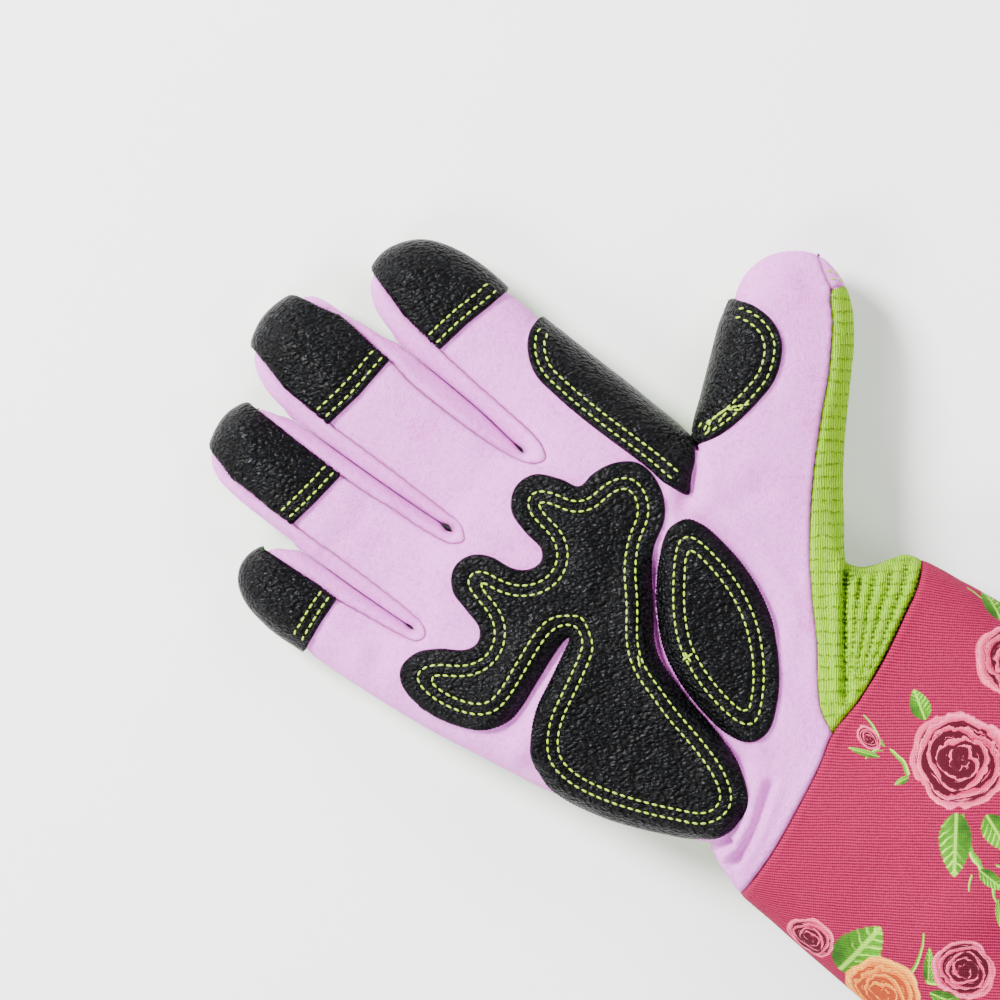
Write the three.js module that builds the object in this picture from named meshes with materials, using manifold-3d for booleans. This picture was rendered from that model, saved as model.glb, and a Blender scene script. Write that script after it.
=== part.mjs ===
// A right-hand rose pruning gauntlet, lying on its back with the palm up and its fingers towards +Y.
// The hand is a soft hollow form: a palm, four fingers and a thumb, run together and cut into the
// cloth panels that the real glove is sewn from. Black patches lie on the palm side, and a long
// flared cuff is joined on at the wrist. Lengths are in millimetres.
import * as THREE from "three";
import { mergeVertices } from "three/addons/utils/BufferGeometryUtils.js";
import Module from "manifold-3d";

const wasm = await Module();
wasm.setup();

// Hand
const palmLength = 92.5; // wrist seam to the side ends of the knuckle line
const knuckleRise = 15.5; // how far the knuckle line bows forward in its middle
const palmThickness = 36;
const fingerGap = 0.6; // air between neighbouring fingers at their roots
const indexWidth = 29;
const indexLength = 72.7;
const indexThickness = 20;
const middleWidth = 28;
const middleLength = 87.2;
const middleThickness = 21;
const ringWidth = 25.8;
const ringLength = 79.7;
const ringThickness = 19.5;
const littleWidth = 20.6;
const littleLength = 52.8;
const littleThickness = 17.5;
const thumbWidth = 41;
const thumbLength = 72.5; // from the thumb's root point to its tip
const thumbThickness = 30;
const thumbAngle = 31; // degrees from the line of the knuckles

// Cuff
const cuffLength = 222;
const mouthWidth = 131;
const mouthHeight = 62;
const hemDepth = 20;

// Cloth and leather
const handWall = 1.5;
const cuffWall = 1.6;
const patchThickness = 1;
const seamGap = 0.3; // between sewn pieces, and under a patch
const seamHeight = 8; // of the seam that joins the back panel, above the surface it lies on
const patchAboveSeam = 1.5; // lowest edge of a patch on a finger's side, above that seam
const gatherDepth = 0.9; // of the elastic gathers across the back of the wrist
const gatherRows = 3;

// Shape of the cross sections
const softness = 2.5; // power of the rounded sections: 2 is an ellipse, more is squarer
const widestShare = 0.45; // height of the widest point, as a share of the section's height
const sag = 1.2; // how far the underside is pressed flat by what it lies on
const fingerTipPower = 2.5; // roundness of an end in plan: 2 is an ellipse
const thumbTipPower = 2.2;
const bodySides = 28;
const fingerSides = 14;
const thumbSides = 18;
const tipRows = 4;

const fingers = [
  { name: "little", width: littleWidth, length: littleLength, thickness: littleThickness,
    fullness: 0.98, lean: -1.4, tip: 0.32 },
  { name: "ring", width: ringWidth, length: ringLength, thickness: ringThickness,
    fullness: 0.98, lean: -1.8, tip: 0.2 },
  { name: "middle", width: middleWidth, length: middleLength, thickness: middleThickness,
    fullness: 1.115, lean: 0.4, tip: 0.25 },
  { name: "index", width: indexWidth, length: indexLength, thickness: indexThickness,
    fullness: 0.955, lean: 2, tip: 0.3 },
];
const fingerSpan = fingers.reduce((sum, f) => sum + f.width, 0);
const knuckleWidth = fingerSpan + fingerGap * (fingers.length - 1);
const knuckleHalf = knuckleWidth / 2;
const wristCentreShare = 0.013;

// The palm, from below the wrist seam up to the knuckles. along is a share of the palm's length,
// centre and half are shares of half the knuckle width, top of the palm's thickness and bow of
// the knuckle rise. power is the squareness of the section.
const palmRows = [
  { along: -0.15, centre: 0.025, half: 0.962, top: 1.17, bow: 0, power: 2.5 },
  { along: -0.07, centre: 0.024, half: 0.94, top: 1.08, bow: 0, power: 2.5 },
  { along: 0.0, centre: 0.032, half: 0.921, top: 1.02, bow: 0, power: 2.5 },
  { along: 0.055, centre: 0.046, half: 0.884, top: 0.97, bow: 0, power: 2.5 },
  { along: 0.11, centre: 0.017, half: 0.883, top: 0.96, bow: 0, power: 2.5 },
  { along: 0.165, centre: -0.069, half: 0.844, top: 0.96, bow: 0, power: 2.5 },
  { along: 0.22, centre: -0.123, half: 0.828, top: 0.97, bow: 0, power: 2.5 },
  { along: 0.33, centre: -0.163, half: 0.862, top: 1.0, bow: 0.02, power: 2.6 },
  { along: 0.49, centre: -0.189, half: 0.907, top: 1.0, bow: 0.08, power: 2.9 },
  { along: 0.65, centre: -0.213, half: 0.932, top: 0.95, bow: 0.2, power: 3.4 },
  { along: 0.8, centre: -0.236, half: 0.953, top: 0.84, bow: 0.5, power: 4.2 },
  { along: 0.92, centre: -0.255, half: 0.98, top: 0.71, bow: 0.8, power: 5 },
  { along: 1.0, centre: -0.262, half: 0.99, top: 0.6, bow: 1.0, power: 5.5 },
];
const gatherFrom = 0.03; // shares of the palm's length
const gatherTo = 0.25;

// The cuff, from the mouth to the wrist. along is a share of its length, flare runs from 0 at the
// wrist's size to 1 at the mouth's.
const cuffRows = [
  { along: 1.0, flare: 1.0 },
  { along: 0.8, flare: 0.84 },
  { along: 0.55, flare: 0.62 },
  { along: 0.3, flare: 0.36 },
];

// A finger, from inside the palm to where its tip begins to round. along is a share of its
// length, half a share of half its width and full how far it has gone to its full width.
const fingerRows = [
  { along: -0.24, half: 0.6, full: 0, top: 0.8 },
  { along: 0.0, half: 1.0, full: 0, top: 1.02 },
  { along: 0.4, half: 1.0, full: 1, top: 1.0 },
];
const fingerEndTop = 0.97;

// The thumb, from inside the palm to where its tip begins to round. half and top are shares of
// half the thumb's width and of its thickness.
const thumbRootAlong = 0.486; // shares of the palm's length and of half the knuckle width
const thumbRootAcross = 0.627;
const thumbTipShare = 0.4;
const thumbRows = [
  { along: -0.38, half: 0.55, top: 1.02 },
  { along: -0.2, half: 0.92, top: 1.14 },
  { along: 0.0, half: 1.03, top: 1.19 },
  { along: 0.25, half: 1.0, top: 1.08 },
  { along: 0.45, half: 0.95, top: 0.95 },
];
const thumbEndHalf = 0.88;
const thumbEndTop = 0.86;

// Sewn lines and patch outlines, seen from above. across is a share of half the knuckle width
// and along a share of the palm's length, both from the middle of the wrist.
const wristSeam = [
  { across: -1.293, along: -0.101 },
  { across: -0.926, along: -0.093 },
  { across: -0.671, along: -0.086 },
  { across: -0.418, along: -0.066 },
  { across: -0.186, along: -0.042 },
  { across: -0.027, along: -0.017 },
  { across: 0.194, along: -0.021 },
  { across: 0.426, along: -0.006 },
  { across: 0.66, along: 0.018 },
  { across: 0.798, along: 0.034 },
  { across: 0.909, along: 0.061 },
  { across: 1.293, along: 0.141 },
];
const backPanelEdge = [
  { across: -0.076, along: -0.065 },
  { across: -0.027, along: -0.013 },
  { across: 0.036, along: 0.048 },
  { across: 0.152, along: 0.108 },
  { across: 0.3, along: 0.174 },
  { across: 0.449, along: 0.252 },
  { across: 0.616, along: 0.331 },
];
const palmPatch = [
  { across: -1.15, along: 0.941 },
  { across: -1.116, along: 1.034 },
  { across: -1.008, along: 1.056 },
  { across: -0.884, along: 1.016 },
  { across: -0.787, along: 0.943 },
  { across: -0.724, along: 0.929 },
  { across: -0.662, along: 0.949 },
  { across: -0.629, along: 1.009 },
  { across: -0.589, along: 1.076 },
  { across: -0.498, along: 1.106 },
  { across: -0.397, along: 1.093 },
  { across: -0.344, along: 1.045 },
  { across: -0.323, along: 0.973 },
  { across: -0.281, along: 0.937 },
  { across: -0.217, along: 0.923 },
  { across: -0.165, along: 0.943 },
  { across: -0.144, along: 1.009 },
  { across: -0.095, along: 1.079 },
  { across: 0.004, along: 1.106 },
  { across: 0.11, along: 1.088 },
  { across: 0.173, along: 1.009 },
  { across: 0.202, along: 0.962 },
  { across: 0.289, along: 0.955 },
  { across: 0.407, along: 0.919 },
  { across: 0.468, along: 0.854 },
  { across: 0.426, along: 0.769 },
  { across: 0.321, along: 0.715 },
  { across: 0.184, along: 0.696 },
  { across: -0.017, along: 0.613 },
  { across: -0.186, along: 0.541 },
  { across: -0.266, along: 0.465 },
  { across: -0.359, along: 0.264 },
  { across: -0.456, along: 0.107 },
  { across: -0.589, along: 0.04 },
  { across: -0.757, along: 0.054 },
  { across: -0.875, along: 0.13 },
  { across: -1.051, along: 0.372 },
  { across: -1.078, along: 0.497 },
  { across: -1.021, along: 0.606 },
  { across: -0.856, along: 0.672 },
  { across: -0.65, along: 0.699 },
  { across: -0.43, along: 0.722 },
  { across: -0.43, along: 0.742 },
  { across: -0.671, along: 0.731 },
  { across: -0.894, along: 0.717 },
  { across: -1.042, along: 0.757 },
  { across: -1.127, along: 0.843 },
];
const thenarPatch = [
  { across: 0.371, along: 0.672 },
  { across: 0.409, along: 0.627 },
  { across: 0.399, along: 0.541 },
  { across: 0.321, along: 0.385 },
  { across: 0.162, along: 0.249 },
  { across: -0.059, along: 0.15 },
  { across: -0.228, along: 0.123 },
  { across: -0.312, along: 0.157 },
  { across: -0.335, along: 0.238 },
  { across: -0.27, along: 0.409 },
  { across: -0.143, along: 0.535 },
  { across: 0.057, along: 0.627 },
  { across: 0.257, along: 0.688 },
];
const indexSidePatch = [
  { across: 0.827, along: 1.344 },
  { across: 0.665, along: 1.337 },
  { across: 0.582, along: 1.309 },
  { across: 0.508, along: 1.25 },
  { across: 0.483, along: 1.135 },
  { across: 0.475, along: 0.973 },
  { across: 0.473, along: 0.8 },
  { across: 0.483, along: 0.717 },
  { across: 0.565, along: 0.739 },
  { across: 0.66, along: 0.765 },
  { across: 0.696, along: 0.795 },
  { across: 0.789, along: 0.886 },
  { across: 0.827, along: 1.081 },
];
const thumbPatch = [
  { across: 0.74, along: 0.773 },
  { across: 0.918, along: 0.724 },
  { across: 1.087, along: 0.703 },
  { across: 1.217, along: 0.706 },
  { across: 1.331, along: 0.735 },
  { across: 1.422, along: 0.787 },
  { across: 1.445, along: 0.843 },
  { across: 1.414, along: 0.931 },
  { across: 1.35, along: 0.995 },
  { across: 1.065, along: 0.908 },
  { across: 0.798, along: 0.822 },
];

const across = (share) => share * knuckleHalf;
const along = (share) => share * palmLength;
const wristCentre = across(wristCentreShare);

// Joins rings of points into a closed tube. Each end is closed by a strip that runs from the
// upper half of its ring straight down to the lower half, so that a bowed ring keeps its bow.
function loft(rings) {
  const sides = rings[0].length;
  const points = rings.flat();
  const faces = [];
  for (let r = 0; r + 1 < rings.length; r++) {
    for (let i = 0; i < sides; i++) {
      const a = r * sides + i;
      const b = r * sides + ((i + 1) % sides);
      faces.push(a, b + sides, b, a, a + sides, b + sides);
    }
  }
  const last = (rings.length - 1) * sides;
  for (let i = 0; i < sides / 2; i++) {
    const [a, b] = [i, i + 1];
    const [c, d] = [(sides - i) % sides, sides - i - 1];
    faces.push(a, b, c, last + a, last + c, last + b);
    faces.push(b, d, c, last + b, last + c, last + d);
  }
  const solidFaces = faces.filter((_, i) => new Set(faces.slice(i - (i % 3), i - (i % 3) + 3)).size === 3);
  const geometry = new THREE.BufferGeometry().setFromPoints(points);
  geometry.setIndex(solidFaces);
  return geometry;
}

// Turns a closed geometry into a solid that can be joined and cut.
function solid(geometry) {
  const bare = geometry.clone();
  bare.deleteAttribute("normal");
  bare.deleteAttribute("uv");
  const merged = mergeVertices(bare, 1e-4);
  return new wasm.Manifold(
    new wasm.Mesh({
      numProp: 3,
      vertProperties: merged.attributes.position.array,
      triVerts: new Uint32Array(merged.index.array),
    }),
  );
}

// The largest body of a solid, without the slivers that a cut can leave beside it.
function largest(cut) {
  return cut.decompose().reduce((a, b) => (a.volume() > b.volume() ? a : b));
}

const signedPower = (v, power) => Math.sign(v) * Math.abs(v) ** power;

// One soft cross section in x and z. It is grown outward by offset, and its underside is pressed
// flat at the height of what it lies on.
function section(size) {
  const { half, top, sides, offset, dent } = size;
  const { shrink = 1, y = 0, centre = 0, bow = 0, power = softness } = size;
  const middle = top * widestShare;
  const ring = [];
  for (let i = 0; i < sides; i++) {
    const angle = (2 * Math.PI * i) / sides;
    const c = signedPower(Math.cos(angle), 2 / power);
    const s = signedPower(Math.sin(angle), 2 / power);
    const pull = dent ? dent(angle) : 0;
    const reach = (s > 0 ? top - middle : middle + sag) + offset - pull;
    const x = (half + offset - pull) * c * shrink;
    const z = middle + reach * s * shrink;
    const forward = bow * Math.cos((Math.PI / 2) * Math.min(1, Math.abs(x / half)));
    ring.push(new THREE.Vector3(centre + x, y + forward, Math.max(z, -offset)));
  }
  return ring;
}

// How far round its end a finger's first ring lies, and how far short of the end the last one
// stays, both as shares of the step between rings
const firstTipRow = 0.35;
const tipEndGap = 0.2;

// The rounded end of a finger or thumb: rings that close in on a superellipse.
function tipRings({ from, length, half, top, sides, offset, power }) {
  const rings = [];
  for (let i = 0; i <= tipRows; i++) {
    const reach = Math.sin(((Math.PI / 2) * (i + firstTipRow)) / (tipRows + firstTipRow + tipEndGap));
    const shrink = (1 - reach ** power) ** (1 / power);
    rings.push(section({ half, top, sides, offset, shrink, y: from + (length + offset) * reach }));
  }
  return rings;
}

// The sizes of the palm at a share of its length, between two rows of its table.
function palmAt(share) {
  const next = Math.max(1, palmRows.findIndex((row) => row.along >= share));
  const [a, b] = [palmRows[next - 1], palmRows[next]];
  const t = (share - a.along) / (b.along - a.along);
  const keys = ["centre", "half", "top", "bow", "power"];
  const mixed = keys.map((key) => [key, THREE.MathUtils.lerp(a[key], b[key], t)]);
  return { along: share, ...Object.fromEntries(mixed) };
}

// The palm's own rows, with a crest and a valley added for each gather across the wrist.
function gatheredRows() {
  const step = (gatherTo - gatherFrom) / (2 * gatherRows);
  const plain = palmRows.filter((row) => row.along < gatherFrom || row.along > gatherTo);
  const pleats = [];
  for (let i = 0; i <= 2 * gatherRows; i++) {
    pleats.push({ ...palmAt(gatherFrom + i * step), valley: i % 2 === 1 });
  }
  return [...plain, ...pleats].sort((a, b) => a.along - b.along);
}

const gatherSides = 0.35; // how far up the sides of the wrist the gathers reach

// Gathers pull in the back of the wrist and leave the palm side smooth.
const gatherPull = (angle) => gatherDepth * THREE.MathUtils.clamp(gatherSides - Math.sin(angle), 0, 1);

// The arm of the glove, from the mouth of the cuff to the knuckles. past runs it on beyond the
// mouth, for the hollow inside.
function armForm(offset, past = 0) {
  const wrist = palmRows[0];
  const wristHalf = across(wrist.half);
  const wristTop = palmThickness * wrist.top;
  const wristY = along(wrist.along);
  const rings = cuffRows.map((row) =>
    section({
      half: THREE.MathUtils.lerp(wristHalf, mouthWidth / 2, row.flare),
      top: THREE.MathUtils.lerp(wristTop, mouthHeight, row.flare),
      y: wristY - (cuffLength + wristY) * row.along,
      centre: wristCentre,
      sides: bodySides,
      offset,
    }),
  );
  if (past) rings.unshift(rings[0].map((p) => p.clone().add(new THREE.Vector3(0, -past, 0))));
  for (const row of gatheredRows()) {
    const last = row.along === 1;
    rings.push(
      section({
        half: across(row.half),
        top: palmThickness * row.top,
        y: along(row.along) + (last ? offset : 0),
        centre: across(row.centre),
        bow: knuckleRise * row.bow,
        power: row.power,
        dent: row.valley ? gatherPull : undefined,
        sides: bodySides,
        offset,
      }),
    );
  }
  return solid(loft(rings));
}

// Where each finger is rooted on the knuckle line.
const knuckles = palmRows.at(-1);
let rootEdge = across(knuckles.centre - knuckles.half);
for (const finger of fingers) {
  finger.root = rootEdge + finger.width / 2;
  rootEdge += finger.width + fingerGap;
}

// Height of the bowed knuckle line, in plan, at a place across the palm.
function knuckleLine(x) {
  const share = (x - across(knuckles.centre)) / across(knuckles.half);
  return palmLength + knuckleRise * Math.cos((Math.PI / 2) * Math.min(1, Math.abs(share)));
}

const turned = (degrees, x, y) =>
  new THREE.Matrix4()
    .makeTranslation(x, y, 0)
    .multiply(new THREE.Matrix4().makeRotationZ(THREE.MathUtils.degToRad(degrees)));

// A finger stands on the knuckle line at its root and leans by its own angle.
function fingerPlace(finger) {
  return turned(-finger.lean, finger.root, palmLength);
}
const fingerReach = (finger) => finger.length;

function fingerForm(finger, offset) {
  const length = fingerReach(finger);
  const full = finger.width * finger.fullness;
  const size = { sides: fingerSides, offset };
  const rings = fingerRows.map((row) =>
    section({
      half: (THREE.MathUtils.lerp(finger.width, full, row.full) / 2) * row.half,
      top: finger.thickness * row.top,
      y: length * row.along,
      ...size,
    }),
  );
  const from = length * (1 - finger.tip);
  const end = { half: full / 2, top: finger.thickness * fingerEndTop, power: fingerTipPower };
  rings.push(...tipRings({ from, length: length - from, ...end, ...size }));
  return solid(loft(rings).applyMatrix4(fingerPlace(finger)));
}

const thumbPlace = turned(thumbAngle - 90, across(thumbRootAcross), along(thumbRootAlong));

function thumbForm(offset) {
  const size = { sides: thumbSides, offset };
  const rings = thumbRows.map((row) =>
    section({
      half: (thumbWidth / 2) * row.half,
      top: thumbThickness * row.top,
      y: thumbLength * row.along,
      ...size,
    }),
  );
  const from = thumbLength * (1 - thumbTipShare);
  rings.push(...tipRings({
    from,
    length: thumbLength - from,
    half: (thumbWidth / 2) * thumbEndHalf,
    top: thumbThickness * thumbEndTop,
    power: thumbTipPower,
    ...size,
  }));
  return solid(loft(rings).applyMatrix4(thumbPlace));
}

// The whole glove's form, grown by offset. A negative offset gives the hollow inside a wall.
function gloveForm(offset, past = 0) {
  return [thumbForm(offset), ...fingers.map((f) => fingerForm(f, offset))].reduce(
    (whole, limb) => whole.add(limb),
    armForm(offset, past),
  );
}

const far = 400; // larger than the glove, for the ends of the cutting prisms

// A prism standing on the plan outline of points.
function prism(points, low = -far, high = far) {
  const shape = new THREE.Shape(points.map(([x, y]) => new THREE.Vector2(x, y)));
  const depth = high - low;
  return solid(new THREE.ExtrudeGeometry(shape, { depth, bevelEnabled: false }).translate(0, 0, low));
}

const placed = (table) => table.map((row) => [across(row.across), along(row.along)]);

// A smooth closed outline through the points of a patch's table.
function outline(table, steps) {
  const knots = placed(table).map(([x, y]) => new THREE.Vector3(x, y, 0));
  const curve = new THREE.CatmullRomCurve3(knots, true, "centripetal");
  return curve.getPoints(steps).slice(0, -1).map((p) => [p.x, p.y]);
}

// Everything on the hand's side of the wrist seam, moved up by shift.
function beyondWrist(shift) {
  const line = placed(wristSeam).map(([x, y]) => [x, y + shift]);
  const right = far;
  return prism([[-right, line[0][1]], ...line, [right, line.at(-1)[1]], [right, far], [-right, far]]);
}

// The knit's edge along the palm side of the thumb: shares of the thumb's length and of the
// strip's width, which is a share of the thumb's
const thumbStripShare = 0.29;
const thumbStrip = [
  { along: 0.1, side: 0.95 },
  { along: 0.42, side: 1 },
  { along: 0.73, side: 1.04 },
  { along: 0.88, side: 0.8 },
  { along: 1.1, side: 0.5 },
];

// The zone of the back panel: all below the side seam, and what lies beyond its edge on the
// palm side, along the thumb and over the gathered wrist. grow widens it by a gap.
function backZone(grow) {
  const corner = (t, side) => {
    const p = new THREE.Vector3(side, t, 0).applyMatrix4(thumbPlace);
    return [p.x, p.y];
  };
  const strip = thumbWidth * thumbStripShare;
  const alongThumb = thumbStrip.map(({ along, side }) => corner(thumbLength * along, strip * side));
  const edge = [...placed(backPanelEdge), ...alongThumb];
  const shifted = edge.map(([x, y]) => [x - grow * 0.6, y + grow * 0.8]);
  const side = prism([...shifted, [far, far / 2], [far, -far], [shifted[0][0], -far]]);
  return side.add(prism([[-far, -far], [far, -far], [far, far], [-far, far]], -far, seamHeight + grow));
}

const capShare = 0.86; // where the cap begins, as a share of the thumb's length

// The zone of the cap over the back of the thumb's tip.
function capZone(grow) {
  const from = thumbLength * capShare - grow;
  const g = new THREE.BoxGeometry(2 * thumbWidth, far, far).translate(0, from + far / 2, 0);
  return solid(g.applyMatrix4(thumbPlace));
}

// A finger's outline point, from shares of its half width and of its length.
function onFinger(finger, side, share) {
  const half = (finger.width * THREE.MathUtils.lerp(1, finger.fullness, Math.min(1, share / 0.4))) / 2;
  const p = new THREE.Vector3(half * side, fingerReach(finger) * share, 0).applyMatrix4(fingerPlace(finger));
  return [p.x, p.y];
}

// The strip of cloth between two fingers reaches this share of each finger's half width inward.
const frontShare = 0.68;
const stripRows = [
  { along: 0.35, inward: frontShare },
  { along: 0.6, inward: frontShare },
  { along: 0.85, inward: frontShare },
  { along: 0.97, inward: 0.48 },
  { along: 1.12, inward: 0 },
];
const stripTurn = 3.6; // how far the strip's rounded end lies below the crotch

function stripZone(left, right, grow) {
  const crotchX = left.root + left.width / 2 + fingerGap / 2;
  const crotchY = knuckleLine(crotchX);
  const up = (finger, side) => stripRows.map(({ along, inward }) => {
    const [x, y] = onFinger(finger, side * inward, along);
    return [x - side * grow, y];
  });
  const turn = [];
  const reach = (left.width / 2) * (1 - frontShare);
  for (let a = 180; a <= 360; a += 30) {
    const t = THREE.MathUtils.degToRad(a);
    turn.push([crotchX + (reach + grow) * Math.cos(t), crotchY + (stripTurn + grow) * Math.sin(t)]);
  }
  return prism([...up(left, 1).reverse(), ...turn, ...up(right, -1)]);
}

// The glove's parts
const outer = gloveForm(0);
const hollow = gloveForm(-handWall, far);
const hand = outer.subtract(hollow).intersect(beyondWrist(seamGap / 2));
const front = hand.subtract(backZone(seamGap));
const back = hand.intersect(backZone(0));
const pairs = fingers.slice(1).map((finger, i) => [fingers[i], finger]);

let palmCloth = front;
const strips = pairs.map(([left, right]) => {
  palmCloth = palmCloth.subtract(stripZone(left, right, seamGap));
  return { name: `fourchette_${left.name}_${right.name}`, cut: front.intersect(stripZone(left, right, 0)) };
});

function makeCuff() {
  const mouthY = -cuffLength;
  const turnedIn = armForm(-2 * cuffWall, far);
  const single = armForm(-cuffWall, far).intersect(
    prism([[-far, mouthY + hemDepth], [far, mouthY + hemDepth], [far, far], [-far, far]]),
  );
  return armForm(0).subtract(turnedIn.add(single)).subtract(beyondWrist(-seamGap / 2));
}

// A patch follows the cloth under it with a small gap, and stays above the side seam.
const patchBed = gloveForm(seamGap);
const patchFace = gloveForm(seamGap + patchThickness);
function makePatch(plan, low) {
  return patchFace.subtract(patchBed).intersect(prism(plan, low));
}

// Where a tip patch begins to narrow, as a share of the finger's length, and its far edge
const tipTurn = 0.93;
const tipEnd = { half: 0.7, along: 1.12 };

// The patch over the front of a finger's tip: across the finger, and over its rounded end.
function tipPlan(finger, { from, left, right, slant }) {
  const at = (side, share) => onFinger(finger, side, share);
  return [
    at(left, from + slant), at(right, from - slant),
    at(right, tipTurn), at(Math.min(right, tipEnd.half), tipEnd.along),
    at(Math.max(left, -tipEnd.half), tipEnd.along), at(left, tipTurn),
  ];
}
const patchLow = seamHeight + patchAboveSeam;
const tipPatches = {
  little: { from: 0.54, left: -1.2, right: 0.66, slant: -0.006 },
  ring: { from: 0.617, left: -0.68, right: 0.8, slant: 0.01 },
  middle: { from: 0.655, left: -0.7, right: 0.74, slant: 0.012 },
  index: { from: 0.61, left: -0.7, right: 1.2, slant: 0.03 },
};

const lilac = { color: 0xe8bee4, roughness: 0.95, metalness: 0 };
const black = { color: 0x1b1b1e, roughness: 0.45, metalness: 0 };
const green = { color: 0x9ccb3a, roughness: 0.9, metalness: 0 };
const rose = { color: 0xc94a70, roughness: 0.85, metalness: 0 };

const glove = new THREE.Group();

// Adds the largest body of a cut as a named mesh.
function addPart(name, cut, finish) {
  const mesh = largest(cut).getMesh();
  const points = new Float32Array(mesh.numVert * 3);
  for (let i = 0; i < mesh.numVert; i++) {
    points.set(mesh.vertProperties.subarray(i * mesh.numProp, i * mesh.numProp + 3), i * 3);
  }
  const geometry = new THREE.BufferGeometry();
  geometry.setAttribute("position", new THREE.BufferAttribute(points, 3));
  geometry.setIndex(new THREE.BufferAttribute(new Uint32Array(mesh.triVerts), 1));
  geometry.computeVertexNormals();
  const part = new THREE.Mesh(geometry, new THREE.MeshStandardMaterial(finish));
  part.name = name;
  glove.add(part);
}

addPart("palm_panel", palmCloth, lilac);
strips.forEach(({ name, cut }) => addPart(name, cut, lilac));
addPart("back_panel", back.subtract(capZone(seamGap)), green);
addPart("thumb_tip_cap", back.intersect(capZone(0)), lilac);
addPart("cuff", makeCuff(), rose);
addPart("palm_patch", makePatch(outline(palmPatch, 110), patchLow), black);
addPart("thenar_patch", makePatch(outline(thenarPatch, 40), patchLow), black);
addPart("index_side_patch", makePatch(outline(indexSidePatch, 40), patchLow), black);
addPart("thumb_patch", makePatch(outline(thumbPatch, 40), patchLow), black);
for (const finger of fingers) {
  const plan = tipPlan(finger, tipPatches[finger.name]);
  addPart(`${finger.name}_tip_patch`, makePatch(plan, patchLow), black);
}

// The origin is under the middle of the glove, on the surface that it lies on.
const box = new THREE.Box3().setFromObject(glove);
const middle = box.getCenter(new THREE.Vector3());
glove.position.set(-middle.x, -middle.y, -box.min.z);

export default glove;
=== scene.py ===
"""A right-hand rose pruning gauntlet, palm up: suede hand, black palm patches, knit back, printed cuff."""
import math

import bmesh
import bpy
import numpy as np
from mathutils import Matrix, Vector, noise
from mathutils.bvhtree import BVHTree
from mathutils.geometry import delaunay_2d_cdt
from mathutils.kdtree import KDTree


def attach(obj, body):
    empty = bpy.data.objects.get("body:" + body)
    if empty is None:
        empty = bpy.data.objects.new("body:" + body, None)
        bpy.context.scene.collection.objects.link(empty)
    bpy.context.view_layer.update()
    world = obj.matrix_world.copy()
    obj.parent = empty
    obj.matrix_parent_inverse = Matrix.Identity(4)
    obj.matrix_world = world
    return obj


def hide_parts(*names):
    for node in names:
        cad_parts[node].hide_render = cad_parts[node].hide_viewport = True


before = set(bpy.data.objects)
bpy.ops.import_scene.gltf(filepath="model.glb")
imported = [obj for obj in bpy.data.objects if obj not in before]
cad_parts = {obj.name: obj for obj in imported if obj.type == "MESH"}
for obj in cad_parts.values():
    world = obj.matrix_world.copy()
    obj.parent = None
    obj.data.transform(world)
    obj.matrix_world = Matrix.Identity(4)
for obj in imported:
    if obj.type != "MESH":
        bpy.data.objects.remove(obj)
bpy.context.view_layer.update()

MM = 0.001
WRIST = np.array([-14.853, 20.521])  # the middle of the wrist seam, in the frame

# The photograph's sideways and upward directions, along the glove's own axes
ASIDE = {"x": 0.6018, "y": -0.7986}
UPWARD = {"x": 0.7986, "y": 0.6018}

# Fineness of the cloth meshes
HAND_STEP = 0.95
CUFF_STEP = 1.9
LINE_STEP = 0.5  # along a stitched row
CUFF_GRID_END = -10.0  # the coarser grid of the cuff ends here, along the glove
EDGE_RINGS = (0.05, 0.2, 0.45, 0.8)  # distance in from the outline of the glove
SEAM_RINGS = (-0.9, -0.35, 0.35, 0.9)
PATCH_RINGS = (0.25, 0.6, 1.1)
ROW_RINGS = (-0.5, 0, 0.5)
HEM_RINGS = (-1.2, -0.5, 0, 0.5)
LOOSE_CELL = 0.18  # one loose point in each cell of this size
TOO_CLOSE = 0.04

# Thickness of the cloth and of the patches
SUEDE = 1.2
KNIT = 1.4
CUFF_CLOTH = 1.6
PATCH = 1.1
PATCH_WALL = 0.7
HEM_CLOTH = 1.3

# How far the cloth rises from the side seam
HAND_RISE = 17.3
HAND_SOFTNESS = 15.5  # swelling at which the hand reaches 0.63 of its full rise
CUFF_RISE = 0.455  # rise of the cuff for each millimetre of swelling
PALM_SHARE = 1.1
BACK_SHARE = 0.95

# Relief: how deep the seams and rows are sunk, how far apart the puckers are, and soft bumps
SEAM_DEPTHS = {"wrist": 1.1, "cap": 0.4}
STRIP_DEPTH = 0.75  # of every other seam
ROW_DEPTH = 0.4  # of the stitched rows of a patch
SEAM_PUCKERS = 3.4
STRIP_PUCKERS = 3.1
BACK_PUCKERS = 4.1
HEM_PUCKERS = 5.3
BROAD_BUMPS = (23, 3.1)  # size and seed
SMALL_BUMPS = (8.5, 7.7)
RIM_BAND = 4  # the relief fades towards the outline over this width
PRESS = 0.7  # softness of the bend where the cloth meets the floor

# Stitches: length, pitch and width of a thread
PATCH_STITCH = (1.66, 2.15, 0.6)
TACK_STITCH = (1.7, 1.7, 0.6)
HEM_STITCH = (2.3, 2.9, 0.5)
ROW_PASSES = 18  # how often the turns of a closed row are eased

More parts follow.
